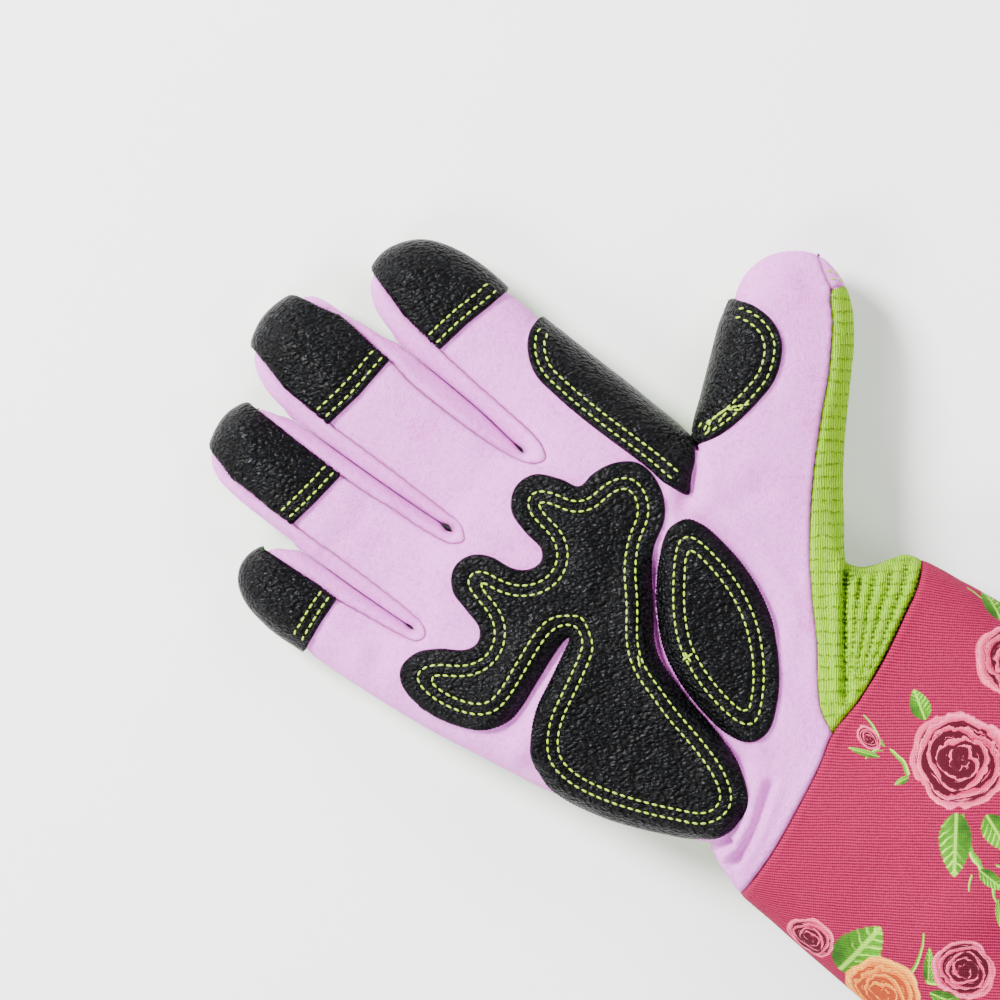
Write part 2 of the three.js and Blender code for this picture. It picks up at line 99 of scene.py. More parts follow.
# Outline of the glove in plan. Each run is smooth, and runs meet at a corner.
LITTLE_SIDE = [
    (-64.6, -222), (-60.5, -160), (-56.2, -100), (-52.3, -50), (-51.0, -30), (-50.2, -20),
    (-49.5, -10), (-48.2, -5), (-46.4, 0), (-44.4, 5), (-45.8, 10), (-48.2, 15), (-50.3, 20),
    (-52.5, 25), (-54.2, 30), (-56.8, 40), (-58.8, 50), (-60.5, 60), (-62.2, 70), (-64, 80),
    (-65.2, 90), (-66.2, 100), (-67, 112), (-67.2, 125), (-66.9, 134), (-65.6, 140.5),
    (-62.2, 145), (-57.6, 146.6), (-53.4, 145.6), (-50.4, 142.8), (-48.2, 138.5), (-47.1, 132),
    (-46.9, 122), (-46.4, 110), (-45.95, 101.4),
]
RING_FINGER = [
    (-45.25, 101.4), (-45.7, 110), (-46.2, 122), (-46.4, 135), (-46.4, 150), (-46.1, 160),
    (-44.9, 166.5), (-42, 170.9), (-38, 172.9), (-33, 173.4), (-28.2, 172.9), (-24.8, 171.2),
    (-22.9, 166.5), (-21.6, 160), (-20.85, 152), (-20.6, 140), (-20.2, 125), (-19.3, 109.4),
]
MIDDLE_FINGER = [
    (-18.5, 109.4), (-19.3, 125), (-19.9, 140), (-20.1, 152), (-20.0, 162), (-18.9, 169.6),
    (-15.6, 176.2), (-11.4, 179.5), (-4.4, 181), (2, 180.3), (5.8, 178.3), (8.6, 174.8),
    (9.9, 166), (10.8, 156), (11.3, 147), (11.1, 136), (10.4, 122), (8.6, 106.4),
]
INDEX_FINGER = [
    (9.3, 106.4), (11.1, 122), (11.8, 136), (12.4, 147), (13.8, 155), (16.0, 160.6),
    (20, 165), (26, 166.6), (31.4, 165), (36.4, 160.8), (39, 155), (40.2, 149), (40.5, 142),
    (40.0, 130), (39.3, 118), (39.0, 105), (38.5, 90), (38.0, 78), (37.2, 71.4),
]
THUMB_SIDE = [
    (37.2, 71.4), (44.8, 74.9), (56.8, 79.9), (68.8, 84.6), (75, 86.5), (81.7, 87.7),
    (88.3, 86.1), (93.7, 81.7), (96.8, 75.8), (96.7, 70), (94.8, 64.8), (91.5, 60.1),
    (85, 54.5), (75, 48.3), (65, 42.2), (55, 35.6), (45, 27.8), (39.2, 23.6), (37.0, 21.0),
    (37.6, 18.0), (40.4, 15.0), (45.0, 12.0), (47.8, 10), (49.4, 5), (50.4, 0), (51.0, -5),
    (51.8, -10), (53.0, -20), (54.6, -40), (58.0, -100), (62.0, -160), (66.2, -222),
]
OUTLINE = [LITTLE_SIDE, RING_FINGER, MIDDLE_FINGER, INDEX_FINGER, THUMB_SIDE]

# Sewn lines between the panels, in plan
WRIST_SEAM = [
    (-49.1, -8.7), (-35.3, -8), (-22, -6.1), (-9.8, -3.9), (-1.4, -1.7), (10.2, -1.9),
    (22.4, -0.6), (34.7, 1.7), (42, 3.1), (49.3, 5.8),
]
THUMB_SEAM = [
    (-1.4, -1.7), (1.9, 4.4), (8, 10), (15.8, 16.1), (23.6, 23.3), (32.4, 30.6), (45, 39.1),
    (55, 45), (65, 50.3), (75, 55.6), (85, 61.9), (91.6, 67.2), (94.8, 64.8),
]
CAP_SEAM = [(91.6, 67.2), (93.0, 70.4), (95.0, 73.4), (96.9, 75.6)]
CAP_BORDER = [(76.5, 95.0), (97.5, 60.0)]  # the cap's edge on the back of the thumb
CAP_START = 62.3  # its distance from the thumb's root
THUMB_ROOT = (33, 45)
THUMB_TURN = 31  # degrees from across the glove to along the thumb
FOURCHETTES = {
    "fourchette_little_ring": [
        (-52.3, 144.4), (-51.0, 127.2), (-50.7, 119.7), (-49.8, 112.8), (-48.4, 103), (-47.4, 99.2),
        (-45.4, 97.9), (-43.6, 99.6), (-42.9, 104), (-42.9, 122), (-42.9, 142.8), (-42.8, 163.0),
        (-40.1, 172.8),
    ],
    "fourchette_ring_middle": [
        (-24.2, 170.6), (-24.5, 140.6), (-23.5, 127), (-22.6, 114), (-21.4, 107), (-19.0, 104.9),
        (-16.9, 107.4), (-16.4, 114), (-16.2, 130), (-16.2, 151), (-15.6, 166.0), (-12.1, 180.0),
    ],
    "fourchette_middle_index": [
        (5.4, 180.6), (8.8, 166.0), (7.3, 148.4), (5.8, 140.6), (5.4, 125), (6.3, 110), (8.0, 102.6),
        (10.7, 100.6), (12.9, 103.4), (14.2, 113), (15.6, 129.4), (16.7, 139.6), (18.5, 153.0),
        (22.8, 166.8),
    ],
}

# Black patches: plan outline, insets of the stitched rows, and which edges wrap round the side
PALM_PATCH = [
    (-60.7, 87), (-58.9, 95.0), (-55.3, 97.8), (-49.8, 96.9), (-45.3, 92.8), (-41.4, 87.2),
    (-38.1, 85.9), (-34.8, 87.8), (-33.1, 93.3), (-31.4, 98.9), (-27.6, 102), (-24.0, 102.3),
    (-20.6, 100.6), (-18.1, 96.7), (-17, 90), (-14.8, 86.7), (-11.4, 85.4), (-8.7, 87.2),
    (-7.6, 93.3), (-5.3, 99.4), (0.2, 102.3), (5.8, 100.4), (9.1, 94.0), (10.4, 89.2),
    (15.2, 88.3), (20.6, 85.7), (24.3, 81.2), (24.4, 76.2), (21.9, 70.6), (16.9, 66.3),
    (9.7, 64.2), (4, 61), (-0.9, 56.7), (-5.3, 53.3), (-9.8, 50), (-13.1, 45.6), (-15.2, 39),
    (-17, 33.3), (-18.9, 24.4), (-21.4, 15.6), (-24.8, 8.9), (-29.2, 4.6), (-34.2, 3.6),
    (-39.8, 5), (-44.2, 8.9), (-47, 14.4), (-51.4, 24), (-55.0, 34.4), (-56.7, 43.3),
    (-56.2, 50.7), (-53.7, 56.1), (-49.8, 59.4), (-43.1, 62.8), (-34.2, 64.7), (-25.3, 66.7),
    (-22.6, 67.6), (-25.3, 68.4), (-35.3, 67.6), (-44.2, 66.7), (-49.8, 67.1), (-54.8, 70),
    (-58.9, 77),
]
THENAR_PATCH = [
    (15.8, 63.9), (20.2, 61.9), (21.7, 57.5), (21.3, 51.5), (19.7, 43.3), (16.9, 35.6),
    (12.2, 27.8), (4.7, 20.0), (-3.1, 14.6), (-11.2, 11.7), (-15.9, 13.6), (-17.6, 20),
    (-16.8, 28.4), (-14.2, 37.8), (-9.8, 46.3), (-3.1, 53.3), (4.7, 59.1), (11.0, 62.8),
]
INDEX_SIDE = [
    (39.7, 124.2), (35, 123.9), (30.6, 121.2), (26.9, 115.8), (25.6, 107.2), (25, 96.1),
    (24.9, 77.8), (24.4, 70.9), (26.1, 65.2), (29.7, 67.4), (34.7, 69.6), (37.2, 71.4),
]
THUMB_PATCH = [
    (37.2, 71.4), (41.7, 68.5), (48.3, 66.3), (57.2, 65), (62.8, 65.0), (68.3, 66.8),
    (72.8, 70), (75.4, 75), (75.7, 81.1), (74.2, 86.2),
]
TIPS = {
    "little_tip_patch": [(-67.4, 120.6), (-59.0, 121.6), (-51.4, 122.0), (-51.5, 127.2), (-52.9, 144.6)],
    "ring_tip_patch": [
        (-39.6, 172.8), (-42.3, 163.0), (-42.4, 143.0), (-34.0, 141.6), (-25.0, 140.6), (-24.8, 171.2),
    ],
    "middle_tip_patch": [
        (-11.5, 180.2), (-15.1, 166.0), (-15.7, 151.2), (-5.0, 149.4), (6.8, 148.6), (8.3, 166.0),
        (4.8, 180.6),
    ],
    "index_tip_patch": [
        (23.4, 166.8), (19.0, 153.0), (17.2, 139.7), (27.0, 138.0), (34.0, 136.2), (40.8, 134.9),
    ],
}

# Each patch: the record's node, its edge inside the glove, the way round outside it, the insets
# of its stitched rows and the part of the edge that they follow
PATCHES = [
    ("palm_patch", PALM_PATCH, None, (4.2, 6.85), None),
    ("thenar_patch", THENAR_PATCH, None, (4.0, 6.7), None),
    ("index_side_patch", INDEX_SIDE, [(46, 74), (46, 124.2)], (2.0, 4.4), INDEX_SIDE[:8]),
    ("thumb_patch", THUMB_PATCH, [(72, 93), (50, 86), (38.6, 77)], (2.0, 4.5), THUMB_PATCH),
    ("little_tip_patch", TIPS["little_tip_patch"], [(-54, 152), (-76, 152), (-76, 120.4)], (2.0, 4.6),
     TIPS["little_tip_patch"][:3]),
    ("ring_tip_patch", TIPS["ring_tip_patch"], [(-24.6, 182), (-39.8, 182)], (2.0, 4.7),
     TIPS["ring_tip_patch"][2:5]),
    ("middle_tip_patch", TIPS["middle_tip_patch"], [(4.8, 188), (-11.5, 188)], (2.0, 4.9),
     TIPS["middle_tip_patch"][2:5]),
    ("index_tip_patch", TIPS["index_tip_patch"], [(50, 134), (50, 176), (23.4, 176)], (2.0, 4.9),
     TIPS["index_tip_patch"][2:]),
]

# The fold where the gathered knit of the wrist tucks under the thumb's strip
GATHER_FOLD = [(38.5, 22.6), (32, 18.8), (25, 13.8), (17.5, 8.2), (10.2, 2.7), (6, 0)]
GATHERS = 5  # rows of gathers between that fold and the wrist seam

# Folds and dents pressed into the glove: the line, its depth and its half width. The depth also sets how dark
# the painted shade along each fold is.
FOLDS = [
    ([(10.5, 64.0), (3.6, 60.1), (-6.5, 52.0), (-13.5, 42.5), (-17.6, 28), (-19.8, 17), (-24, 7)], 2.6, 2.6),
    ([(-58, 68.5), (-50, 66.4), (-38, 66.9), (-26, 67.6), (-18, 67.8)], 2.4, 3.2),
    ([(26.5, 66.0), (23.6, 63.0), (22.8, 57), (20.6, 43.3), (15.6, 31), (8, 21)], 1.7, 2.6),
    ([(37.2, 71.4), (30, 67.0), (24.5, 64.8), (17, 65.0)], 1.6, 2.4),
    ([(-46.5, 5.5), (-41.0, 3.6), (-34.0, 4.2), (-28, 6.4)], 1.9, 1.6),
    ([(-46.5, -2.4), (-36, -1.0), (-26.5, 1.6), (-19, 4.2)], 1.8, 1.2),
    ([(-47.5, 14), (-43.8, 8.6), (-39.5, 4.4)], 0.9, 1.8),
    ([(-47.0, 8.6), (-42.6, 4.0), (-39.0, 0.4)], 2.4, 0.7),
    ([(86.6, 79.5), (88.4, 75.5), (88.6, 71.0), (86.4, 67.5)], 1.1, 2.4),
    ([(-38.1, 84.5), (-38.4, 92), (-42, 97)], 0.9, 3.0),
    ([(-11.8, 84.5), (-12.4, 93), (-15.5, 102)], 0.9, 3.0),
    ([(28, 58), (36, 52), (46, 47)], 1.0, 3.2),
    ([(-64, 100), (-57, 104), (-50, 103)], 1.0, 2.6),
    ([(-45, 128), (-38, 131), (-30, 130), (-22, 132)], 0.5, 2.6),
    ([(-60, 60), (-56, 54), (-56, 46)], 0.7, 2.4),
    ([(-40, -60), (-18, -74), (6, -78)], 1.4, 9.0),
    ([(58, -92), (36, -112), (6, -122)], 1.8, 10.0),
    ([(-60, -150), (-30, -146), (0, -158)], 1.6, 10.0),
    (GATHER_FOLD, 1.6, 1.1),
]

# How hard the cloth is drawn into a pit at the end of each slit between fingers, and how dark the painted
# shade in that pit is, little finger first
SLIT_ENDS = (0.4, 0.9, 0.5)

# The printed flowers. Each spray is drawn about its own centre, in millimetres. A rose has its
# place, radius, turn in degrees and tint. A leaf or a stem has its two ends and half its width.
RED, PEACH = 0.0, 1.0
BUD_RADIUS, BUD_WIDTH = 5.0, 0.6  # a rose smaller than this is a bud, narrower than it is long
LEAF, STEM = "leaf", "stem"
STEM_BEND = 2.6  # how far a stem bows to its side, in half widths
PRINT_MARGIN = 1.3  # cloth beyond each motif that still carries its mark
SPRAYS = {
    "large": {
        "roses": [(0, 0, 13.8, 20, RED), (-9.3, 22.2, 4.2, 84, RED)],
        "leaves": [
            (3.1, 13.4, 7.9, 20.4, 2.7, LEAF), (-11.4, -7.0, -25.0, -16.4, 4.3, LEAF),
            (-7.2, -13.4, -11.2, -23.4, 3.6, LEAF),
            (-19.6, -20.4, -19.8, -28.4, 2.0, LEAF), (-11.2, 8.4, -9.0, 18.0, 0.5, STEM),
            (-8.6, 17.6, -8.1, 26.0, 1.0, LEAF), (-11.6, 17.0, -14.6, 25.0, 0.9, LEAF),
            (-22.6, -28.8, -28.0, -33.4, 1.0, LEAF), (-11.4, 8.0, -15.2, 9.8, 0.9, LEAF),
            (-9.6, 17.4, -14.2, 19.6, 0.3, STEM), (-8.8, 19.0, -5.6, 26.8, 0.3, STEM),
            (-19.4, -25.6, -23.4, -29.6, 0.4, STEM), (-17.0, -19.0, -13.4, -26.4, 0.35, STEM),
            (-18.2, -20.0, -25.6, -21.6, 0.35, STEM), (-11.3, -8.2, -19.4, -25.6, 0.8, STEM),
        ],
    },
    "side": {
        "roses": [(0, 0, 12.6, 190, RED)],
        "leaves": [
            (-4, -11, -2, -23, 4.2, LEAF), (8, 10, 17, 18, 3.6, LEAF), (10, -8, 20, -14, 3.8, LEAF),
            (2, -12, 6, -26, 0.6, STEM), (9, 9, 12, 22, 0.4, STEM),
        ],
    },
    "small": {
        "roses": [(0, 0, 12.0, 80, PEACH), (-0.3, 23.5, 7.4, 60, RED), (20.9, -12.0, 8.8, 200, RED)],
        "leaves": [
            (-3.4, 12.4, 16.2, 11.4, 6.2, LEAF), (11.4, -7.4, 19.9, -1.6, 1.5, LEAF),
            (9.8, -9.0, 13.0, -19.4, 2.4, LEAF), (-6, -9, -13, -20, 4.0, LEAF),
            (-1, 12, 2, 18, 0.6, STEM), (12, -6, 20, -14, 0.6, STEM), (11, -2, 22, 2, 0.35, STEM),
        ],
    },
}
# Where the sprays are printed: round the cuff from its middle, along it, and the spray's turn
PRINT = [
    ("large", 11.5, -32.0, 0), ("side", 42.4, -29.6, 0), ("small", -52.2, -53.1, 0),
    ("large", -13, -112, 150), ("small", 40, -86, 40), ("side", -62, -100, 60), ("small", 8, -158, 200),
    ("large", 52, -142, -40), ("large", -50, -160, 20), ("side", 22, -198, 90), ("small", -22, -205, 10),
    ("side", 72, -196, 150), ("small", 78, -48, 160), ("large", 84, -96, 100), ("side", 112, -62, 0),
    ("small", 116, -142, -30), ("large", 110, -190, 180), ("large", -84, -34, 200), ("side", -110, -72, 40),
    ("small", -92, -122, 90), ("large", -122, -150, -20), ("side", -88, -182, 120), ("small", -116, -206, 60),
]

# Height of the side seam above the floor, along the glove
SIDE_SEAM = [
    (-222, 28.0), (-120, 24.0), (-50, 20.5), (0, 17.5), (30, 15.5), (60, 13.5), (90, 11.2),
    (112, 9.4), (190, 9.0),
]
THUMB_SEAM_HEIGHT = 12.5
THUMB_FROM = 38  # the seam takes the thumb's height from here on, across the glove

# The row that holds the hem, across the cuff
HEM_Y = -202.0
HEM_LINE = np.array([[-70.0, HEM_Y], [72.0, HEM_Y]])

# Bar tacks where rows end, the tangle on the thumb patch and the rows on the cap
TACKS = [[(-15.6, 50.6), (-17.6, 48.4)], [(-9.4, 40.6), (-6.6, 39.6)], [(-8.6, 38.6), (-7.6, 41.4)]]
TANGLE = [
    [(41.7, 71.9), (45.0, 72.0), (49.5, 70.8), (51.5, 67.6)], [(49.5, 70.8), (51.1, 69.5), (54.3, 66.6)],
    [(45.6, 70.2), (49.0, 70.0)], [(41.9, 70.6), (45.0, 72.0)],
]
CAP_ROWS = [[(94.3, 71.6), (96.2, 68.2)], [(93.2, 69.7), (95.3, 66.3)]]

# Colours, as red, green and blue from 0 to 255
# The third lilac darkens the seam lines and is also the painted shade in the creases and slit ends
LILAC_LIGHT, LILAC_DARK, LILAC_SEAM_AND_SHADE = (254, 146, 249), (214, 88, 200), (132, 46, 104)
# The leather's two colours are a painted highlight on the pebble tops and painted shade in the gaps between
# them
LEATHER_TOP_HIGHLIGHT, LEATHER_GAP_SHADE = (12, 13, 17), (1, 1, 1)
# The darkest green is both the knit's rows of holes and the painted shade in the gathers
GREEN_LIGHT, GREEN_DARK, GREEN_HOLE_AND_SHADE = (154, 202, 0), (94, 140, 0), (36, 64, 4)
THREAD_LIGHT, THREAD_DARK = (176, 210, 62), (84, 112, 12)
PINK_LIGHT, PINK_DARK = (158, 24, 70), (78, 10, 34)
PETAL_LIGHT, PETAL_DARK, BURGUNDY = (242, 106, 142), (180, 42, 82), (46, 7, 15)
PEACH_LIGHT, PEACH_DARK, PEACH_LINE = (250, 176, 70), (208, 104, 34), (150, 56, 26)
LEAF_LIGHT, LEAF_MIDDLE, LEAF_DARK = (160, 214, 66), (70, 140, 14), (34, 76, 20)
FLOOR_LIGHT, FLOOR_DARK = (250, 250, 250), (246, 246, 247)

# The show, in metres. Each lamp has its name, place, size and power in watts.
VIEW_CENTRE = (-0.0197, 0.1240, 0.012)
VIEW_DISTANCE = 1.6
VIEW_WIDTH = 0.2632
LAMP_AIM = (-0.02, 0.08, 0.0)
LAMPS = [
    ("key", (-0.1, 1.38, 1.1), 0.6, 105),
    ("side", (1.35, 0.1, 1.2), 0.8, 24),
    ("fill", (-1.35, 0.3, 1.25), 0.8, 37),
    ("low", (0.3, -1.3, 1.2), 0.8, 13),
]
DAYLIGHT = 0.36


# Curves in plan

def smooth_line(points, step, closed=False):
    """A smooth curve through points, as evenly spaced points about one step apart."""
    p = np.array(points, float)
    if closed:
        p = np.vstack([p[-1], p, p[0], p[1]])
    else:
        p = np.vstack([2 * p[0] - p[1], p, 2 * p[-1] - p[-2]])
    fine = []
    for a, b, c, d in zip(p[:-3], p[1:-2], p[2:-1], p[3:]):
        t0 = np.hypot(*(b - a)) ** 0.5
        t1 = t0 + np.hypot(*(c - b)) ** 0.5
        t2 = t1 + np.hypot(*(d - c)) ** 0.5
        t = np.linspace(t0, t1, 16, endpoint=False)[:, None]
        ab = (t0 - t) / t0 * a + t / t0 * b
        bc = (t1 - t) / (t1 - t0) * b + (t - t0) / (t1 - t0) * c
        cd = (t2 - t) / (t2 - t1) * c + (t - t1) / (t2 - t1) * d
        abc = (t1 - t) / t1 * ab + t / t1 * bc
        bcd = (t2 - t) / (t2 - t0) * bc + (t - t0) / (t2 - t0) * cd
        fine.append((t1 - t) / (t1 - t0) * abc + (t - t0) / (t1 - t0) * bcd)
    return even_line(np.vstack(fine + [p[-2][None]]), step)


def even_line(points, step):
    """The same line with its points about one step apart, both ends kept."""
    lengths = np.hypot(*np.diff(points, axis=0).T)
    run = np.concatenate([[0], np.cumsum(lengths)])
    count = max(2, int(round(run[-1] / step)) + 1)
    at = np.linspace(0, run[-1], count)
    return np.column_stack([np.interp(at, run, points[:, i]) for i in (0, 1)])


def side_of(line):
    """Unit normals to the left of a line's direction, point by point."""
    d = np.gradient(line, axis=0)
    d /= np.maximum(np.hypot(*d.T), 1e-9)[:, None]
    return np.column_stack([-d[:, 1], d[:, 0]])


def nearest(points, line):
    """For each point: its distance to a line, how far along the line that is, and its side."""
    a, b = line[:-1], line[1:]
    ab = b - a
    length2 = np.maximum((ab ** 2).sum(1), 1e-12)
    run = np.concatenate([[0], np.cumsum(np.sqrt(length2))])
    far = np.full(len(points), 1e3)
    along = np.zeros(len(points))
    side = np.zeros(len(points))
    lo, hi = line.min(0) - 12, line.max(0) + 12
    close = np.flatnonzero(((points > lo) & (points < hi)).all(1))
    for chunk in np.array_split(close, max(1, len(close) // 4000)):
        if not len(chunk):
            continue
        q = points[chunk][:, None]
        t = np.clip(((q - a) * ab).sum(2) / length2, 0, 1)
        away = q - (a + t[..., None] * ab)
        d2 = (away ** 2).sum(2)
        k = d2.argmin(1)
        rows = np.arange(len(chunk))
        far[chunk] = np.sqrt(d2[rows, k])
        along[chunk] = run[k] + t[rows, k] * np.sqrt(length2[k])
        side[chunk] = np.sign(ab[k, 0] * away[rows, k, 1] - ab[k, 1] * away[rows, k, 0])
    return far, along, side


def inside(points, polygon):
    """Which points lie inside a closed outline."""
    found = np.zeros(len(points), bool)
    lo, hi = polygon.min(0), polygon.max(0)
    close = np.flatnonzero(((points >= lo) & (points <= hi)).all(1))
    a, b = polygon, np.roll(polygon, -1, axis=0)
    rise = np.where(np.abs(b[:, 1] - a[:, 1]) < 1e-12, 1e-12, b[:, 1] - a[:, 1])
    for chunk in np.array_split(close, max(1, len(close) // 4000)):
        x, y = points[chunk, 0][:, None], points[chunk, 1][:, None]
        crosses = (a[:, 1] > y) != (b[:, 1] > y)
        left = x < a[:, 0] + (y - a[:, 1]) / rise * (b[:, 0] - a[:, 0])
        found[chunk] = (crosses & left).sum(1) % 2 == 1
    return found


def inset_line(line, closed, inset, step):
    """The line moved inward by inset, without the stretches that crossed over in tight bends."""
    ring = np.vstack([line[-1], line, line[0]]) if closed else line
    normal = side_of(ring)
    if closed:
        ring, normal = ring[1:-1], normal[1:-1]
    area = np.cross(ring, np.roll(ring, -1, axis=0)).sum() if closed else 1
    moved = ring + normal * inset * (1 if area > 0 else -1)
    edge = np.vstack([line, line[:1]]) if closed else line
    far, _, _ = nearest(moved, edge)
    kept = moved[far > abs(inset) - 0.12]
    if closed:
        kept = np.vstack([kept, kept[:1]])
    return even_line(kept, step)


# The glove's plan, meshed once and used for every panel

def join_runs(lines):
    """Lines that follow each other as one closed outline, each shared corner kept once."""
    after = lines[1:] + lines[:1]
    return np.vstack([r[:-1] if np.allclose(r[-1], s[0]) else r for r, s in zip(lines, after)])


runs = [smooth_line(r, HAND_STEP) for r in OUTLINE]
mouth = even_line(np.array([OUTLINE[-1][-1], OUTLINE[0][0]], float), CUFF_STEP)
outline = join_runs(runs + [mouth])
if np.cross(outline, np.roll(outline, -1, axis=0)).sum() < 0:
    outline = outline[::-1]

wrist_seam = smooth_line(WRIST_SEAM, HAND_STEP)
thumb_seam = smooth_line(THUMB_SEAM, HAND_STEP)
cap_seam = smooth_line(CAP_SEAM, HAND_STEP)
strip_seams = {name: smooth_line(line, HAND_STEP) for name, line in FOURCHETTES.items()}
patch_edges = {}
for name, line, outside, _, _ in PATCHES:
    if name in TIPS:
        patch_edges[name] = even_line(np.array(line), HAND_STEP * 0.8)
    else:
        patch_edges[name] = smooth_line(line, HAND_STEP * 0.8, closed=outside is None)


def patch_polygon(name, outside):
    """The closed outline of a patch, with the way round outside the glove."""
    edge = patch_edges[name]
    return edge if outside is None else np.vstack([edge, np.array(outside, float)])


def plan_mesh():
    """Triangles over the glove's plan that follow its outline, its seams and its patches."""
    points, edges = [], []

    def add_line(line, closed=False):
        first = len(points)
        points.extend(map(tuple, line))
        count = len(line)
        edges.extend((first + i, first + i + 1) for i in range(count - 1))
        if closed:
            edges.append((first + count - 1, first))

    add_line(outline, closed=True)
    fixed = [wrist_seam, thumb_seam, cap_seam, *strip_seams.values()]
    for line in fixed:
        add_line(line)
    add_line(even_line(np.array(CAP_BORDER), HAND_STEP))
    for beside in HEM_RINGS:
        add_line(even_line(HEM_LINE + (0, beside), 1.2))
    for name, _, outside, _, _ in PATCHES:
        add_line(patch_edges[name], closed=outside is None)
    loose = []
    inward = side_of(np.vstack([outline[-1], outline, outline[0]]))[1:-1]
    for d in EDGE_RINGS:
        loose.append(outline + inward * d)
    for line in fixed:
        for d in SEAM_RINGS:
            loose.append(line + side_of(line) * d)
    for name, _, outside, rows, _ in PATCHES:
        closed = outside is None
        beside = [] if name in TIPS else [row + d for row in rows for d in ROW_RINGS]
        for d in (*PATCH_RINGS, *beside):
            loose.append(inset_line(patch_edges[name], closed, d, HAND_STEP))
    loose = np.vstack(loose)
    wanted = np.array(points)
    guard = KDTree(len(wanted))
    for i, p in enumerate(wanted):
        guard.insert((p[0], p[1], 0), i)
    guard.balance()
    kept = []
    filled = set()
    for p in loose:
        cell = (round(p[0] / LOOSE_CELL), round(p[1] / LOOSE_CELL))
        if cell in filled or guard.find((p[0], p[1], 0))[2] < TOO_CLOSE:
            continue
        filled.add(cell)
        kept.append(p)
    kept = np.array(kept)
    kept = kept[inside(kept, outline)]
    near_all = KDTree(len(wanted) + len(kept))
    for i, p in enumerate(np.vstack([wanted, kept])):
        near_all.insert((p[0], p[1], 0), i)
    near_all.balance()
    lo, hi = outline.min(0), outline.max(0)
    grid = []
    for size, low, high in ((CUFF_STEP, lo[1], CUFF_GRID_END), (HAND_STEP, CUFF_GRID_END, hi[1])):
        rows = np.arange(low, high, size * 0.866)
        for r, y in enumerate(rows):
            x = np.arange(lo[0] + (r % 2) * size / 2, hi[0], size)
            grid.append(np.column_stack([x, np.full(len(x), y)]))
    grid = np.vstack(grid)
    grid = grid[inside(grid, outline)]
    room = np.array([near_all.find((x, y, 0))[2] for x, y in grid])
    grid = grid[room > 0.55 * np.where(grid[:, 1] < CUFF_GRID_END, CUFF_STEP, HAND_STEP)]
    everything = [Vector(p) for p in np.vstack([wanted, kept, grid])]
    made = delaunay_2d_cdt(everything, edges, [], 0, 1e-5)
    verts = np.array([tuple(v) for v in made[0]])
    faces = np.array(made[2])
    middle = verts[faces].mean(1)
    faces = faces[inside(middle, outline)]
    a, b, c = (verts[faces[:, i]] for i in range(3))
    area = np.cross(b - a, c - a)
    faces[area < 0] = faces[area < 0][:, ::-1]
    faces = faces[np.abs(area) > 1e-7]
    used = np.unique(faces)
    back = np.full(len(verts), -1)
    back[used] = np.arange(len(used))
    return verts[used], back[faces]


def swell(points, faces, edge_mask):
    """How far each point of the plan can swell: the root of the rise of a stretched skin."""
    a, b, c = (points[faces[:, i]] for i in range(3))
    area2 = np.maximum(np.cross(b - a, c - a), 1e-6)
    pairs, weights = [], []
    for i, j, k in ((0, 1, 2), (1, 2, 0), (2, 0, 1)):
        u = points[faces[:, i]] - points[faces[:, k]]
        v = points[faces[:, j]] - points[faces[:, k]]
        weights.append(np.clip((u * v).sum(1) / area2 / 2, 0.01, 25))
        pairs.append(faces[:, [i, j]])
    pairs, weights = np.vstack(pairs), np.concatenate(weights)
    count = len(points)
    i, j = pairs.T
    mass = np.bincount(faces.ravel(), np.repeat(area2 / 6, 3), count)
    diagonal = np.bincount(i, weights, count) + np.bincount(j, weights, count)
    free = ~edge_mask

    def apply(x):
        flow = weights * (x[i] - x[j])
        return (np.bincount(i, flow, count) - np.bincount(j, flow, count)) * free

    load = 2 * mass * free
    x = np.zeros(count)
    r = load.copy()
    z = r / diagonal
    p = z.copy()
    rz = r @ z
    goal = 1e-4 * np.sqrt(load @ load)
    for _ in range(1500):
        q = apply(p)
        alpha = rz / (p @ q)
        x += alpha * p
        r -= alpha * q
        if np.sqrt(r @ r) < goal:
            break
        z = r / diagonal
        rz, old = r @ z, rz
        p = z + rz / old * p
    return np.sqrt(np.maximum(x, 0))


plan, tris = plan_mesh()
rim_far = nearest(plan, np.vstack([outline, outline[:1]]))[0]
mouth_y = OUTLINE[0][0][1]
on_rim = (rim_far < 1e-3) & (plan[:, 1] > mouth_y + 0.01)
on_rim |= (np.abs(plan - OUTLINE[0][0]).sum(1) < 0.01) | (np.abs(plan - OUTLINE[-1][-1]).sum(1) < 0.01)
lift = swell(plan, tris, on_rim)


# Panels of the plan

def region(line, closure):
    """The closed outline of a panel: a seam and the way back round outside it."""
    return np.vstack([line, np.array(closure, float)])


middles = plan[tris].mean(1)
in_cuff = inside(middles, region(wrist_seam, [(80, 5.8), (80, -240), (-80, -240), (-80, -8.7)]))
seam_x = THUMB_SEAM[0][0]
hand_edge = wrist_seam[wrist_seam[:, 0] > seam_x][::-1]
in_knit = inside(middles, region(thumb_seam, [(104, 60), (104, 5.8), *hand_edge])) & ~in_cuff
in_cap = inside(middles, region(cap_seam, [(102, 75.6), (102, 64.8), (94.8, 64.8)]))
strip_closures = {
    "fourchette_little_ring": [(-43.0, 175), (-47.2, 168), (-47.2, 149), (-50.4, 147)],
    "fourchette_ring_middle": [(-14.0, 182), (-19.8, 177), (-21.3, 173), (-22.6, 172.6)],
    "fourchette_middle_index": [(20.0, 169), (13.0, 167), (11.0, 175), (8.0, 182)],
}
in_strip = {name: inside(middles, region(line, strip_closures[name])) for name, line in strip_seams.items()}
in_front = ~(in_cuff | in_knit | in_cap | np.any(list(in_strip.values()), axis=0))
in_knit &= ~in_cap
thumb_way = np.array([math.cos(math.radians(THUMB_TURN)), math.sin(math.radians(THUMB_TURN))])
in_back_cap = ((middles - THUMB_ROOT) @ thumb_way > CAP_START) & (middles[:, 0] > 45)

